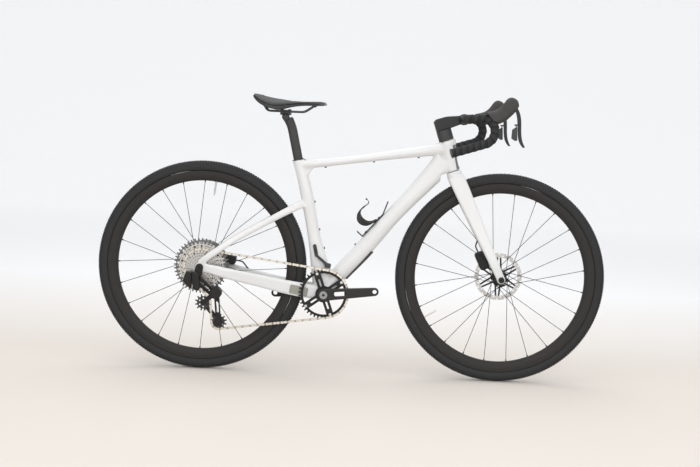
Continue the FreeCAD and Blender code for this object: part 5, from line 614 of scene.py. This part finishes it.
def merged(*nodes):
    """Copies of CAD meshes in one editable mesh."""
    build = bmesh.new()
    for node in nodes:
        build.from_mesh(NODES[node].data)
    bmesh.ops.remove_doubles(build, verts=build.verts, dist=MERGE_DISTANCE)
    return build


def object_of(name, build):
    """New object with an editable mesh, which is used up."""
    data = bpy.data.meshes.new(name)
    build.to_mesh(data)
    build.free()
    return new_object(name, data)


def baked(piece):
    """Replaces a piece's mesh with the result of its modifiers."""
    bpy.context.view_layer.update()
    graph = bpy.context.evaluated_depsgraph_get()
    data = bpy.data.meshes.new_from_object(piece.evaluated_get(graph))
    piece.modifiers.clear()
    old = piece.data
    piece.data = data
    bpy.data.meshes.remove(old)
    return piece


def remeshed(piece, voxel, passes):
    """Eases a piece's edges over a grid."""
    grid = piece.modifiers.new("grid", "REMESH")
    grid.mode = "VOXEL"
    grid.voxel_size = voxel
    grid.use_smooth_shade = True
    ease = piece.modifiers.new("ease", "SMOOTH")
    ease.factor = EASE_FACTOR
    ease.iterations = passes
    return baked(piece)


def finished(piece, body, material, nodes=()):
    """Surface, smooth shading and place in the object."""
    piece.data.materials.clear()
    piece.data.materials.append(material)
    piece.data.shade_smooth()
    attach(piece, body)
    if nodes:
        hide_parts(*nodes)


def rounded(name, body, node, voxel, passes, material):
    """A CAD piece with its edges eased."""
    finished(remeshed(object_of(name, merged(node)), voxel, passes), body, material, [node])


def rounded_path(points, radii, step):
    """Points along straight runs joined by tangent arcs."""
    path = [points[0]]
    for before, corner, after, radius in zip(points, points[1:], points[2:], radii):
        back = (before - corner).normalized()
        ahead = (after - corner).normalized()
        half = back.angle(ahead) / 2
        reach = radius / math.tan(half)
        centre = corner + (back + ahead).normalized() * (radius / math.sin(half))
        start = corner + back * reach - centre
        normal = start.cross(corner + ahead * reach - centre).normalized()
        sweep = math.pi - 2 * half
        count = max(BEND_LEAST_STEPS, int(sweep * radius / step))
        for index in range(count + 1):
            path.append(centre + Matrix.Rotation(sweep * index / count, 3, normal) @ start)
    path.append(points[-1])
    filled = [path[0]]
    for point in path[1:]:
        base = filled[-1]
        gap = point - base
        pieces = max(1, int(gap.length / step))
        filled += [base + gap * ((index + 1) / pieces) for index in range(pieces)]
    return filled


def swept(name, path, radius_at, sides):
    """Tube along a path whose radius, kept as an attribute, is a function of distance and angle."""
    points = []
    rises = []
    faces = []
    across = (path[1] - path[0]).normalized().orthogonal().normalized()
    travelled = 0.0
    for index, point in enumerate(path):
        ahead = (path[min(index + 1, len(path) - 1)] - path[max(index - 1, 0)]).normalized()
        across = (across - ahead * across.dot(ahead)).normalized()
        other = ahead.cross(across)
        if index:
            travelled += (point - path[index - 1]).length
        for side in range(sides):
            angle = 2 * math.pi * side / sides
            radius = radius_at(travelled, angle)
            rises.append(radius)
            points.append(point + across * (radius * math.cos(angle)) + other * (radius * math.sin(angle)))
    for start in range(0, (len(path) - 1) * sides, sides):
        for side in range(sides):
            after = (side + 1) % sides
            faces.append((start + side, start + after, start + sides + after, start + sides + side))
    faces.append(tuple(reversed(range(sides))))
    faces.append(tuple(range(len(points) - sides, len(points))))
    piece = mesh_from(name, points, faces)
    piece.data.attributes.new("rise", "FLOAT", "POINT").data.foreach_set("value", rises)
    return piece


class Pattern(Wiring):
    """A geometry node tree under construction, with named inputs for its sizes."""

    def __init__(self, name, sizes):
        super().__init__(bpy.data.node_groups.new(name, "GeometryNodeTree"))
        face = self.tree.interface
        for key, kind in (("Geometry", "Geometry"), *sizes):
            face.new_socket(key, in_out="INPUT", socket_type="NodeSocket" + kind)
        face.new_socket("Geometry", in_out="OUTPUT", socket_type="NodeSocketGeometry")
        group = self.tree.nodes.new("NodeGroupInput")
        self.given = {key: Flow(self, group.outputs[key]) for key in ("Geometry", *dict(sizes))}

    def vector(self, operation, *values, **inputs):
        return self.node("ShaderNodeVectorMath", settings={"operation": operation}, ordered=values, **inputs)

    def aligned(self, axis, pivot, **inputs):
        settings = {"axis": axis, "pivot_axis": pivot}
        return self.node("FunctionNodeAlignRotationToVector", settings=settings, **inputs)

    def ended(self, shape, material):
        """The tree, closed by real geometry with its material."""
        real = self.node("GeometryNodeRealizeInstances", Geometry=shape)
        painted = self.node("GeometryNodeSetMaterial", Geometry=real, Material=material)
        self.feed(self.tree.nodes.new("NodeGroupOutput").inputs["Geometry"], painted)
        return self.tree


def knob_row(pattern, lean, turn, length_share):
    """One ring of knobs that stand square on the casing at a lean from its crown."""
    given = pattern.given
    casing = given["Casing Radius"]
    ring = pattern.node("GeometryNodeMeshCircle", Vertices=given["Knob Count"],
                        Radius=given["Ring Radius"] + casing * math.cos(lean))
    side = pattern.node("ShaderNodeCombineXYZ", Y=casing * math.sin(lean))
    stand = pattern.node("GeometryNodeTransform", Geometry=ring, Translation=side,
                         Rotation=(math.pi / 2, turn, 0))
    size = pattern.node("ShaderNodeCombineXYZ", X=given["Knob Length"] * length_share,
                        Y=given["Knob Width"], Z=given["Knob Height"] * 2.0)
    outwards = pattern.vector("MULTIPLY", pattern.node("GeometryNodeInputPosition"), (1, 0, 1))
    unit = pattern.vector("NORMALIZE", outwards)
    slope = pattern.vector("SCALE", unit, Scale=math.cos(lean))
    normal = pattern.vector("ADD", slope, (0, math.sin(lean), 0))
    along = pattern.vector("CROSS_PRODUCT", unit, (0, 1, 0))
    upright = pattern.aligned("Z", "AUTO", Vector=normal)
    return pattern.node("GeometryNodeInstanceOnPoints", Points=stand,
                        Instance=pattern.node("GeometryNodeMeshCube", Size=size),
                        Rotation=pattern.aligned("X", "Z", Rotation=upright, Vector=along))


def tread_tree(material, pitch):
    """Node tree that sets rows of knobs round a tyre standing along X and Z."""
    pattern = Pattern("tyre_tread", (("Knob Count", "Int"), ("Knob Length", "Float"), ("Knob Width", "Float"),
                                     ("Knob Height", "Float"), ("Ring Radius", "Float"),
                                     ("Casing Radius", "Float"), ("Axle", "Vector")))
    rows = []
    for degrees, shift, length_share in KNOB_ROWS:
        for side in ((1, -1) if degrees else (1,)):
            rows.append(knob_row(pattern, math.radians(degrees * side), shift * pitch, length_share))
    joined = pattern.node("GeometryNodeJoinGeometry", Geometry=rows)
    placed = pattern.node("GeometryNodeTransform", Geometry=joined, Translation=pattern.given["Axle"])
    return pattern.ended(placed, material)


def stitch_tree(material):
    """Node tree that lays short threads along a seam."""
    pattern = Pattern("seam_stitches", (("Stitch Gap", "Float"), ("Thread Radius", "Float")))
    given = pattern.given
    seam = pattern.node("GeometryNodeMeshToCurve", Mesh=given["Geometry"])
    spots = pattern.node("GeometryNodeCurveToPoints", "Points", {"mode": "LENGTH"},
                         Curve=seam, Length=given["Stitch Gap"])
    thread = pattern.node("GeometryNodeMeshCylinder", Vertices=THREAD_SIDES, Radius=given["Thread Radius"],
                          Depth=given["Stitch Gap"] * THREAD_SHARE)
    threads = pattern.node("GeometryNodeInstanceOnPoints", Points=spots, Instance=thread,
                           Rotation=pattern.aligned("Z", "AUTO", Vector=spots.beside("Tangent")))
    return pattern.ended(threads, material)


def patterned(piece, tree, sizes):
    """Bakes a node tree, with its inputs set by socket identifier, into a piece's mesh."""
    modifier = piece.modifiers.new("pattern", "NODES")
    modifier.node_group = tree
    for item in tree.interface.items_tree:
        if item.item_type == "SOCKET" and item.in_out == "INPUT" and item.name in sizes:
            modifier[item.identifier] = sizes[item.name]
    baked(piece)


def spots_of(data):
    """Places of a mesh's vertices, one row each."""
    spots = np.zeros(len(data.vertices) * 3, np.float32)
    data.vertices.foreach_get("co", spots)
    return spots.reshape(-1, 3)


def move_spots(data, spots):
    data.vertices.foreach_set("co", spots.astype(np.float32).ravel())
    data.update()


def islands(data):
    """Number of the connected piece that each vertex belongs to."""
    owner = np.arange(len(data.vertices))
    edges = np.zeros(len(data.edges) * 2, np.int64)
    data.edges.foreach_get("vertices", edges)
    edges = edges.reshape(-1, 2)
    while True:
        low = np.minimum(owner[edges[:, 0]], owner[edges[:, 1]])
        before = owner.copy()
        np.minimum.at(owner, edges[:, 0], low)
        np.minimum.at(owner, edges[:, 1], low)
        owner = owner[owner]
        if np.array_equal(before, owner):
            return owner


class BICYCLE_OT_frame(bpy.types.Operator):
    """Painted frame and fork with blended tube joints"""
    bl_idname = "bicycle.frame"
    bl_label = "Frame and Fork"

    def execute(self, context):
        look = context.scene.bicycle_frame
        paint = frame_paint(look.paint)
        shell = remeshed(self.backed("frame_shell"), look.voxel, look.passes)
        finished(shell, "frame", paint, ["frame"])
        rounded("fork_shell", "front_end", "fork", look.voxel * FORK_GRID_SHARE, look.passes, paint)
        return {"FINISHED"}

    def backed(self, name):
        """Copy of the frame whose thin wall round the seatpost is backed by the post's own form."""
        build = merged("frame")
        for drop in POST_DROPS:
            post = merged("seatpost")
            bmesh.ops.translate(post, verts=post.verts, vec=SEAT_WAY * -drop)
            bmesh.ops.bisect_plane(post, geom=post.verts[:] + post.edges[:] + post.faces[:],
                                   plane_co=SEAT_TOP - SEAT_WAY * POST_CUT_DEPTH, plane_no=SEAT_WAY,
                                   clear_outer=True)
            bmesh.ops.holes_fill(post, edges=[edge for edge in post.edges if edge.is_boundary])
            backing = bpy.data.meshes.new("backing")
            post.to_mesh(backing)
            post.free()
            build.from_mesh(backing)
            bpy.data.meshes.remove(backing)
        return object_of(name, build)


class BICYCLE_OT_wheels(bpy.types.Operator):
    """Tyres with tread, rims, spokes, hubs, discs and valves"""
    bl_idname = "bicycle.wheels"
    bl_label = "Wheels"

    def execute(self, context):
        look = context.scene.bicycle_tyre
        fibre = rim_fibre()
        black = anodised("hub_black", DEEP_BLACK, rough=0.38)
        steel = bright_steel("valve_steel", VALVE_STEEL, rough=0.22)
        for end, axle in (("front", FRONT_AXLE), ("rear", REAR_AXLE)):
            rubber = tyre_rubber(end, axle)
            self.casing(end, axle, rubber, look)
            self.tread(end, axle, rubber, look)
            dress(fibre, end + "_rim")
            dress(black, end + "_spokes", end + "_hub", end + "_axle")
            dress(steel, end + "_valve")
            dress(rotor_steel(end, axle), end + "_rotor")
        return {"FINISHED"}

    def casing(self, end, axle, rubber, look):
        """Ring whose section is an arc with a flat between its beads."""
        edge = look.ring_radius - look.casing_radius * BEAD_SHARE
        profile = [(edge, -BEAD_HALF_WIDTH)]
        for angle in np.linspace(-CASING_ARC_HALF, CASING_ARC_HALF, CASING_ARC_STEPS + 1):
            profile.append((look.ring_radius + look.casing_radius * math.cos(angle),
                            look.casing_radius * math.sin(angle)))
        profile.append((edge, BEAD_HALF_WIDTH))
        points = []
        faces = []
        count = len(profile)
        for step in range(CASING_STEPS):
            angle = 2 * math.pi * step / CASING_STEPS
            points += [(axle.x + radius * math.cos(angle), side, axle.z + radius * math.sin(angle))
                       for radius, side in profile]
            here = step * count
            after = (step + 1) % CASING_STEPS * count
            for index in range(count):
                ahead = (index + 1) % count
                faces.append((here + index, here + ahead, after + ahead, after + index))
        finished(mesh_from(end + "_casing", points, faces), end + "_wheel", rubber, [end + "_tyre"])

    def tread(self, end, axle, rubber, look):
        piece = mesh_from(end + "_tread", [(0, 0, 0)])
        patterned(piece, tread_tree(rubber, 2 * math.pi / look.knob_count), {
            "Knob Count": look.knob_count, "Knob Length": look.knob_length, "Knob Width": look.knob_width,
            "Knob Height": look.knob_height, "Ring Radius": look.ring_radius,
            "Casing Radius": look.casing_radius, "Axle": tuple(axle)})
        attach(piece, end + "_wheel")


class BICYCLE_OT_cockpit(bpy.types.Operator):
    """Wrapped bar, hoods, levers, stem and spacers"""
    bl_idname = "bicycle.cockpit"
    bl_label = "Cockpit"

    def execute(self, context):
        look = context.scene.bicycle_cockpit
        self.tape(look)
        rounded("hood_covers", "front_end", "hoods", look.hood_voxel, HOOD_PASSES, hood_rubber())
        black = anodised("cockpit_black", SOFT_BLACK, rough=0.36)
        rounded("stem_shell", "front_end", "stem", STEM_GRID, CRISP_PASSES, black)
        dress(black, "handlebar")
        dress(anodised("lever_black", LEVER_BLACK, rough=0.3), "brake_lever_right", "brake_lever_left")
        dress(moulded_black(), "shift_paddle_right", "shift_paddle_left", "headset_spacers", "bar_plugs")
        dress(bright_steel("bearing_steel", BEARING_STEEL, rough=0.25), "headset_bearings")
        return {"FINISHED"}

    def tape(self, look):
        """Both halves of the bar, wrapped in turns that lap over each other."""
        cloth = tape_cloth(look)

        def radius_at(travelled, angle):
            turn = (travelled / look.tape_pitch + angle / (2 * math.pi)) % 1.0
            rise = min(turn / (1.0 - TAPE_LAP_SHARE), (1.0 - turn) / TAPE_LAP_SHARE)
            return look.tape_radius - look.tape_step * (1.0 - rise)

        for side, name in ((-1, "right"), (1, "left")):
            corners = [Vector((x, y * side, z)) for x, y, z in BAR_CORNERS]
            path = rounded_path(corners, BAR_BENDS, BAR_STEP)
            piece = swept("tape_" + name, path, radius_at, TAPE_SIDES)
            finished(piece, "front_end", cloth, ["bar_tape"])


class BICYCLE_OT_drivetrain(bpy.types.Operator):
    """Cranks, ring, chain, cassette and derailleur"""
    bl_idname = "bicycle.drivetrain"
    bl_label = "Drivetrain"

    def execute(self, context):
        fibre = satin_fibre("crank_fibre", DARK_FIBRE)
        black = anodised("drive_black", WARM_BLACK, rough=0.4)
        steel = bright_steel("bolt_steel", BOLT_STEEL, rough=0.24)
        for name in ("crank_arm_right", "crank_arm_left"):
            rounded(name + "_shell", "crankset", name, CRANK_GRID, CRISP_PASSES, fibre)
        dress(black, "chainring", "chainring_spider", "bottom_bracket_cups", "cassette_carrier",
              "derailleur_cage")
        dress(steel, "chainring_bolts", "crank_spindle", "freehub")
        dress(cap_metal(), "crank_caps")
        dress(cassette_steel(), "cassette_cogs")
        for name in ("derailleur_knuckle", "derailleur_links", "derailleur_battery"):
            rounded(name + "_shell", "frame", name, DERAILLEUR_GRID, ROUND_PASSES, black)
        dress(moulded_black(), "guide_pulley", "tension_pulley", "chain_guide")
        self.chain()
        return {"FINISHED"}

    def chain(self):
        """Three lengths: the upper run, the slack side and its rise."""
        metal = chain_steel()
        whole = object_of("chain_whole", merged("chain"))
        data = whole.data
        owner = islands(data)
        spots = spots_of(data)
        total = len(owner)
        counts = np.bincount(owner, minlength=total)
        x, z = (np.bincount(owner, spots[:, axis], minlength=total)[owner] / counts[owner] for axis in (0, 2))
        high = np.full(total, -np.inf)
        low = np.full(total, np.inf)
        np.maximum.at(high, owner, spots[:, 1])
        np.minimum.at(low, owner, spots[:, 1])
        outer = (high[owner] - low[owner] > OUTER_LINK_WIDTH).astype(float)
        data.attributes.new("outer", "FLOAT", "POINT").data.foreach_set("value", outer)
        slack = (z < SLACK_TOP) & (x < SLACK_FRONT)
        rise = (z >= SLACK_TOP) & (z < RISE_TOP) & (x < RISE_FRONT)
        for name, kept, bend in (("chain_upper", ~(slack | rise), None), ("chain_slack", slack, SLACK_BEND),
                                 ("chain_rise", rise, RISE_BEND)):
            build = bmesh.new()
            build.from_mesh(data)
            build.verts.ensure_lookup_table()
            bmesh.ops.delete(build, geom=[build.verts[i] for i in np.flatnonzero(~kept)], context="VERTS")
            piece = object_of(name, build)
            piece.data.materials.append(metal)
            if bend:
                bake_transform(piece)
            else:
                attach(piece, "frame")
            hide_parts("chain")
        bpy.data.objects.remove(whole)


class BICYCLE_OT_saddle(bpy.types.Operator):
    """Padded saddle on its shell, rails and post"""
    bl_idname = "bicycle.saddle"
    bl_label = "Saddle and Post"

    def execute(self, context):
        look = context.scene.bicycle_saddle
        cover = remeshed(object_of("saddle_cover", merged("saddle_pad")), look.grid, COVER_PASSES)
        self.swell(cover, context.scene, look)
        divide = cover.modifiers.new("divide", "SUBSURF")
        divide.levels = 1
        divide.render_levels = 1
        baked(cover)
        self.groove(cover, look)
        finished(cover, "saddle", saddle_cover(), ["saddle_pad"])
        self.seam(cover, look)
        dress(moulded_black(), "saddle_shell")
        dress(bright_steel("rail_steel", RAIL_STEEL, rough=0.3), "saddle_rails")
        dress(anodised("clamp_black", SOFT_BLACK, rough=0.34), "saddle_clamp")
        rounded("seatpost_shell", "seatpost", "seatpost", POST_GRID, ROUND_PASSES,
                satin_fibre("post_fibre", POST_FIBRE))
        dress(hose_rubber(), "seat_clamp")
        return {"FINISHED"}

    def swell(self, cover, scene, look):
        """Cover that the padding pushes out from its base, with every move capped."""
        data = cover.data
        normals = np.array([vertex.normal for vertex in data.vertices], np.float32)
        start = spots_of(data) - normals * look.slack
        move_spots(data, start)
        held = cover.vertex_groups.new(name="held")
        held.add([int(index) for index in np.flatnonzero(normals[:, 2] < HELD_SLOPE)], 1.0, "REPLACE")
        cloth = cover.modifiers.new("swell", "CLOTH")
        cloth.settings.use_pressure = True
        cloth.settings.uniform_pressure_force = look.pressure
        cloth.settings.effector_weights.gravity = 0.0
        cloth.settings.vertex_group_mass = held.name
        cloth.point_cache.frame_start = 1
        cloth.point_cache.frame_end = SWELL_FRAMES
        for step in range(1, SWELL_FRAMES + 1):
            scene.frame_set(step)
        graph = bpy.context.evaluated_depsgraph_get()
        push = spots_of(cover.evaluated_get(graph).to_mesh()) - start
        cover.modifiers.clear()
        scene.frame_set(1)
        reach = np.linalg.norm(push, axis=1, keepdims=True)
        push *= look.swell / np.maximum(reach, look.swell)
        move_spots(data, start + push)
        cover.vertex_groups.clear()

    def groove(self, cover, look):
        """Presses a shallow channel along the middle of the cover."""
        low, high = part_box("saddle_pad")
        data = cover.data
        spots = spots_of(data)
        ups = np.array([vertex.normal.z for vertex in data.vertices])
        along = (spots[:, 0] - low.x) / (high.x - low.x)
        tail = np.clip((along - GROOVE_TAIL_SHARE) / GROOVE_TAIL_FADE_SHARE, 0, 1)
        nose = np.clip((GROOVE_NOSE_SHARE - along) / GROOVE_NOSE_FADE_SHARE, 0, 1)
        press = np.exp(-(spots[:, 1] / GROOVE_WIDTH) ** 2) * tail * nose * np.clip(ups, 0, 1)
        spots[:, 2] -= look.channel * press
        move_spots(data, spots)

    def seam(self, cover, look):
        """Row of stitches round the tail of the cover."""
        low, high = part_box("saddle_pad")
        bpy.context.evaluated_depsgraph_get().update()
        points = []
        for side in np.linspace(-SEAM_HALF_WIDTH, SEAM_HALF_WIDTH, SEAM_POINTS):
            start = Vector((low.x + SEAM_FROM_TAIL + abs(side) * SEAM_SWEEP_SHARE, side, high.z + SEAM_DROP))
            hit, spot, normal, _ = cover.ray_cast(start, Vector((0, 0, -1)))
            if hit:
                points.append(spot + normal * SEAM_LIFT)
        if len(points) < 2:
            raise RuntimeError("The seam misses the saddle's cover")
        piece = mesh_from("saddle_stitches", points, edges=[(i, i + 1) for i in range(len(points) - 1)])
        patterned(piece, stitch_tree(stitch_thread()),
                  {"Stitch Gap": look.stitch_gap, "Thread Radius": THREAD_RADIUS})
        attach(piece, "saddle")


class BICYCLE_OT_fittings(bpy.types.Operator):
    """Bottle cage, brakes, hoses, guards and screws"""
    bl_idname = "bicycle.fittings"
    bl_label = "Fittings"

    def execute(self, context):
        black = anodised("brake_black", DEEP_BLACK, rough=0.4)
        dress(satin_fibre("cage_fibre", DARK_FIBRE), "bottle_cage")
        for name, body in (("front_caliper", "front_end"), ("rear_caliper", "frame")):
            rounded(name + "_shell", body, name, CALIPER_GRID, CRISP_PASSES, black)
        dress(hose_rubber(), "front_hose", "rear_hose", "down_tube_guard")
        dress(anodised("plate_grey", PLATE_GREY, rough=0.42), "chainstay_plate")
        dress(anodised("screw_black", PLAIN_BLACK, rough=0.3), "frame_bolts")
        return {"FINISHED"}


class BICYCLE_OT_stage(bpy.types.Operator):
    """Pale floor, soft lights and the camera"""
    bl_idname = "bicycle.stage"
    bl_label = "Stage"

    def execute(self, context):
        scene = context.scene
        self.floor()
        for name, place, turn, size, power in LIGHTS:
            data = bpy.data.lights.new(name, "AREA")
            data.size = size
            data.energy = power
            lamp = new_object(name, data)
            lamp.location = place
            lamp.rotation_euler = turn
        world = bpy.data.worlds.new("studio")
        world.use_nodes = True
        sky = world.node_tree.nodes["Background"]
        sky.inputs["Color"].default_value = SKY_COLOUR
        sky.inputs["Strength"].default_value = SKY_STRENGTH
        scene.world = world
        self.camera(scene)
        scene.view_settings.view_transform = "Standard"
        return {"FINISHED"}

    def floor(self):
        """Floor that curves up into a backdrop behind the object."""
        profile = [(-FLOOR_HALF, 0.0), (BACKDROP_START, 0.0)]
        for step in range(1, BACKDROP_STEPS + 1):
            angle = math.pi / 2 * step / BACKDROP_STEPS
            profile.append((BACKDROP_START + BACKDROP_BEND * math.sin(angle),
                            BACKDROP_BEND - BACKDROP_BEND * math.cos(angle)))
        profile.append((BACKDROP_START + BACKDROP_BEND, FLOOR_HALF))
        count = len(profile)
        points = [(side, depth, rise) for side in (-FLOOR_HALF, FLOOR_HALF) for depth, rise in profile]
        faces = [(index, index + 1, count + index + 1, count + index) for index in range(count - 1)]
        piece = mesh_from("floor", points, faces)
        piece.data.materials.append(floor_paint())
        piece.data.shade_smooth()

    def camera(self, scene):
        """Camera that stands and looks as the stage's sizes say."""
        look = scene.bicycle_stage
        ahead = Vector((-math.sin(look.yaw) * math.cos(look.pitch), math.cos(look.yaw) * math.cos(look.pitch),
                        math.sin(look.pitch)))
        flat = Vector((math.cos(look.yaw), math.sin(look.yaw), 0))
        rise = flat.cross(ahead)
        right = flat * math.cos(look.roll) + rise * math.sin(look.roll)
        up = rise * math.cos(look.roll) - flat * math.sin(look.roll)
        data = bpy.data.cameras.new("camera")
        data.lens = look.lens
        data.sensor_width = SENSOR_WIDTH
        data.clip_end = VIEW_END
        camera = new_object("camera", data)
        turn = Matrix((right, up, -ahead)).transposed().to_4x4()
        camera.matrix_world = Matrix.Translation(Vector(look.eye)) @ turn
        scene.camera = camera


class BICYCLE_PT_panel(bpy.types.Panel):
    """Buttons that build each group"""
    bl_idname = "BICYCLE_PT_panel"
    bl_label = "Bicycle"
    bl_space_type = "VIEW_3D"
    bl_region_type = "UI"
    bl_category = "Bicycle"

    def draw(self, context):
        for operator in OPERATORS:
            self.layout.operator(operator.bl_idname)


OPERATORS = (BICYCLE_OT_frame, BICYCLE_OT_wheels, BICYCLE_OT_cockpit, BICYCLE_OT_drivetrain,
             BICYCLE_OT_saddle, BICYCLE_OT_fittings, BICYCLE_OT_stage)
LOOKS = (("bicycle_frame", FrameLook), ("bicycle_tyre", TyreLook), ("bicycle_cockpit", CockpitLook),
         ("bicycle_saddle", SaddleLook), ("bicycle_stage", StageLook))


def register():
    for name, look in LOOKS:
        bpy.utils.register_class(look)
        setattr(bpy.types.Scene, name, PointerProperty(type=look))
    for operator in OPERATORS:
        bpy.utils.register_class(operator)
    bpy.utils.register_class(BICYCLE_PT_panel)


def unregister():
    bpy.utils.unregister_class(BICYCLE_PT_panel)
    for operator in reversed(OPERATORS):
        bpy.utils.unregister_class(operator)
    for name, look in reversed(LOOKS):
        delattr(bpy.types.Scene, name)
        bpy.utils.unregister_class(look)


def main():
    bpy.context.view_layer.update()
    register()
    bpy.ops.bicycle.frame()
    bpy.ops.bicycle.wheels()
    bpy.ops.bicycle.cockpit()
    bpy.ops.bicycle.drivetrain()
    bpy.ops.bicycle.saddle()
    bpy.ops.bicycle.fittings()
    bpy.ops.bicycle.stage()


if __name__ == "__main__":
    main()
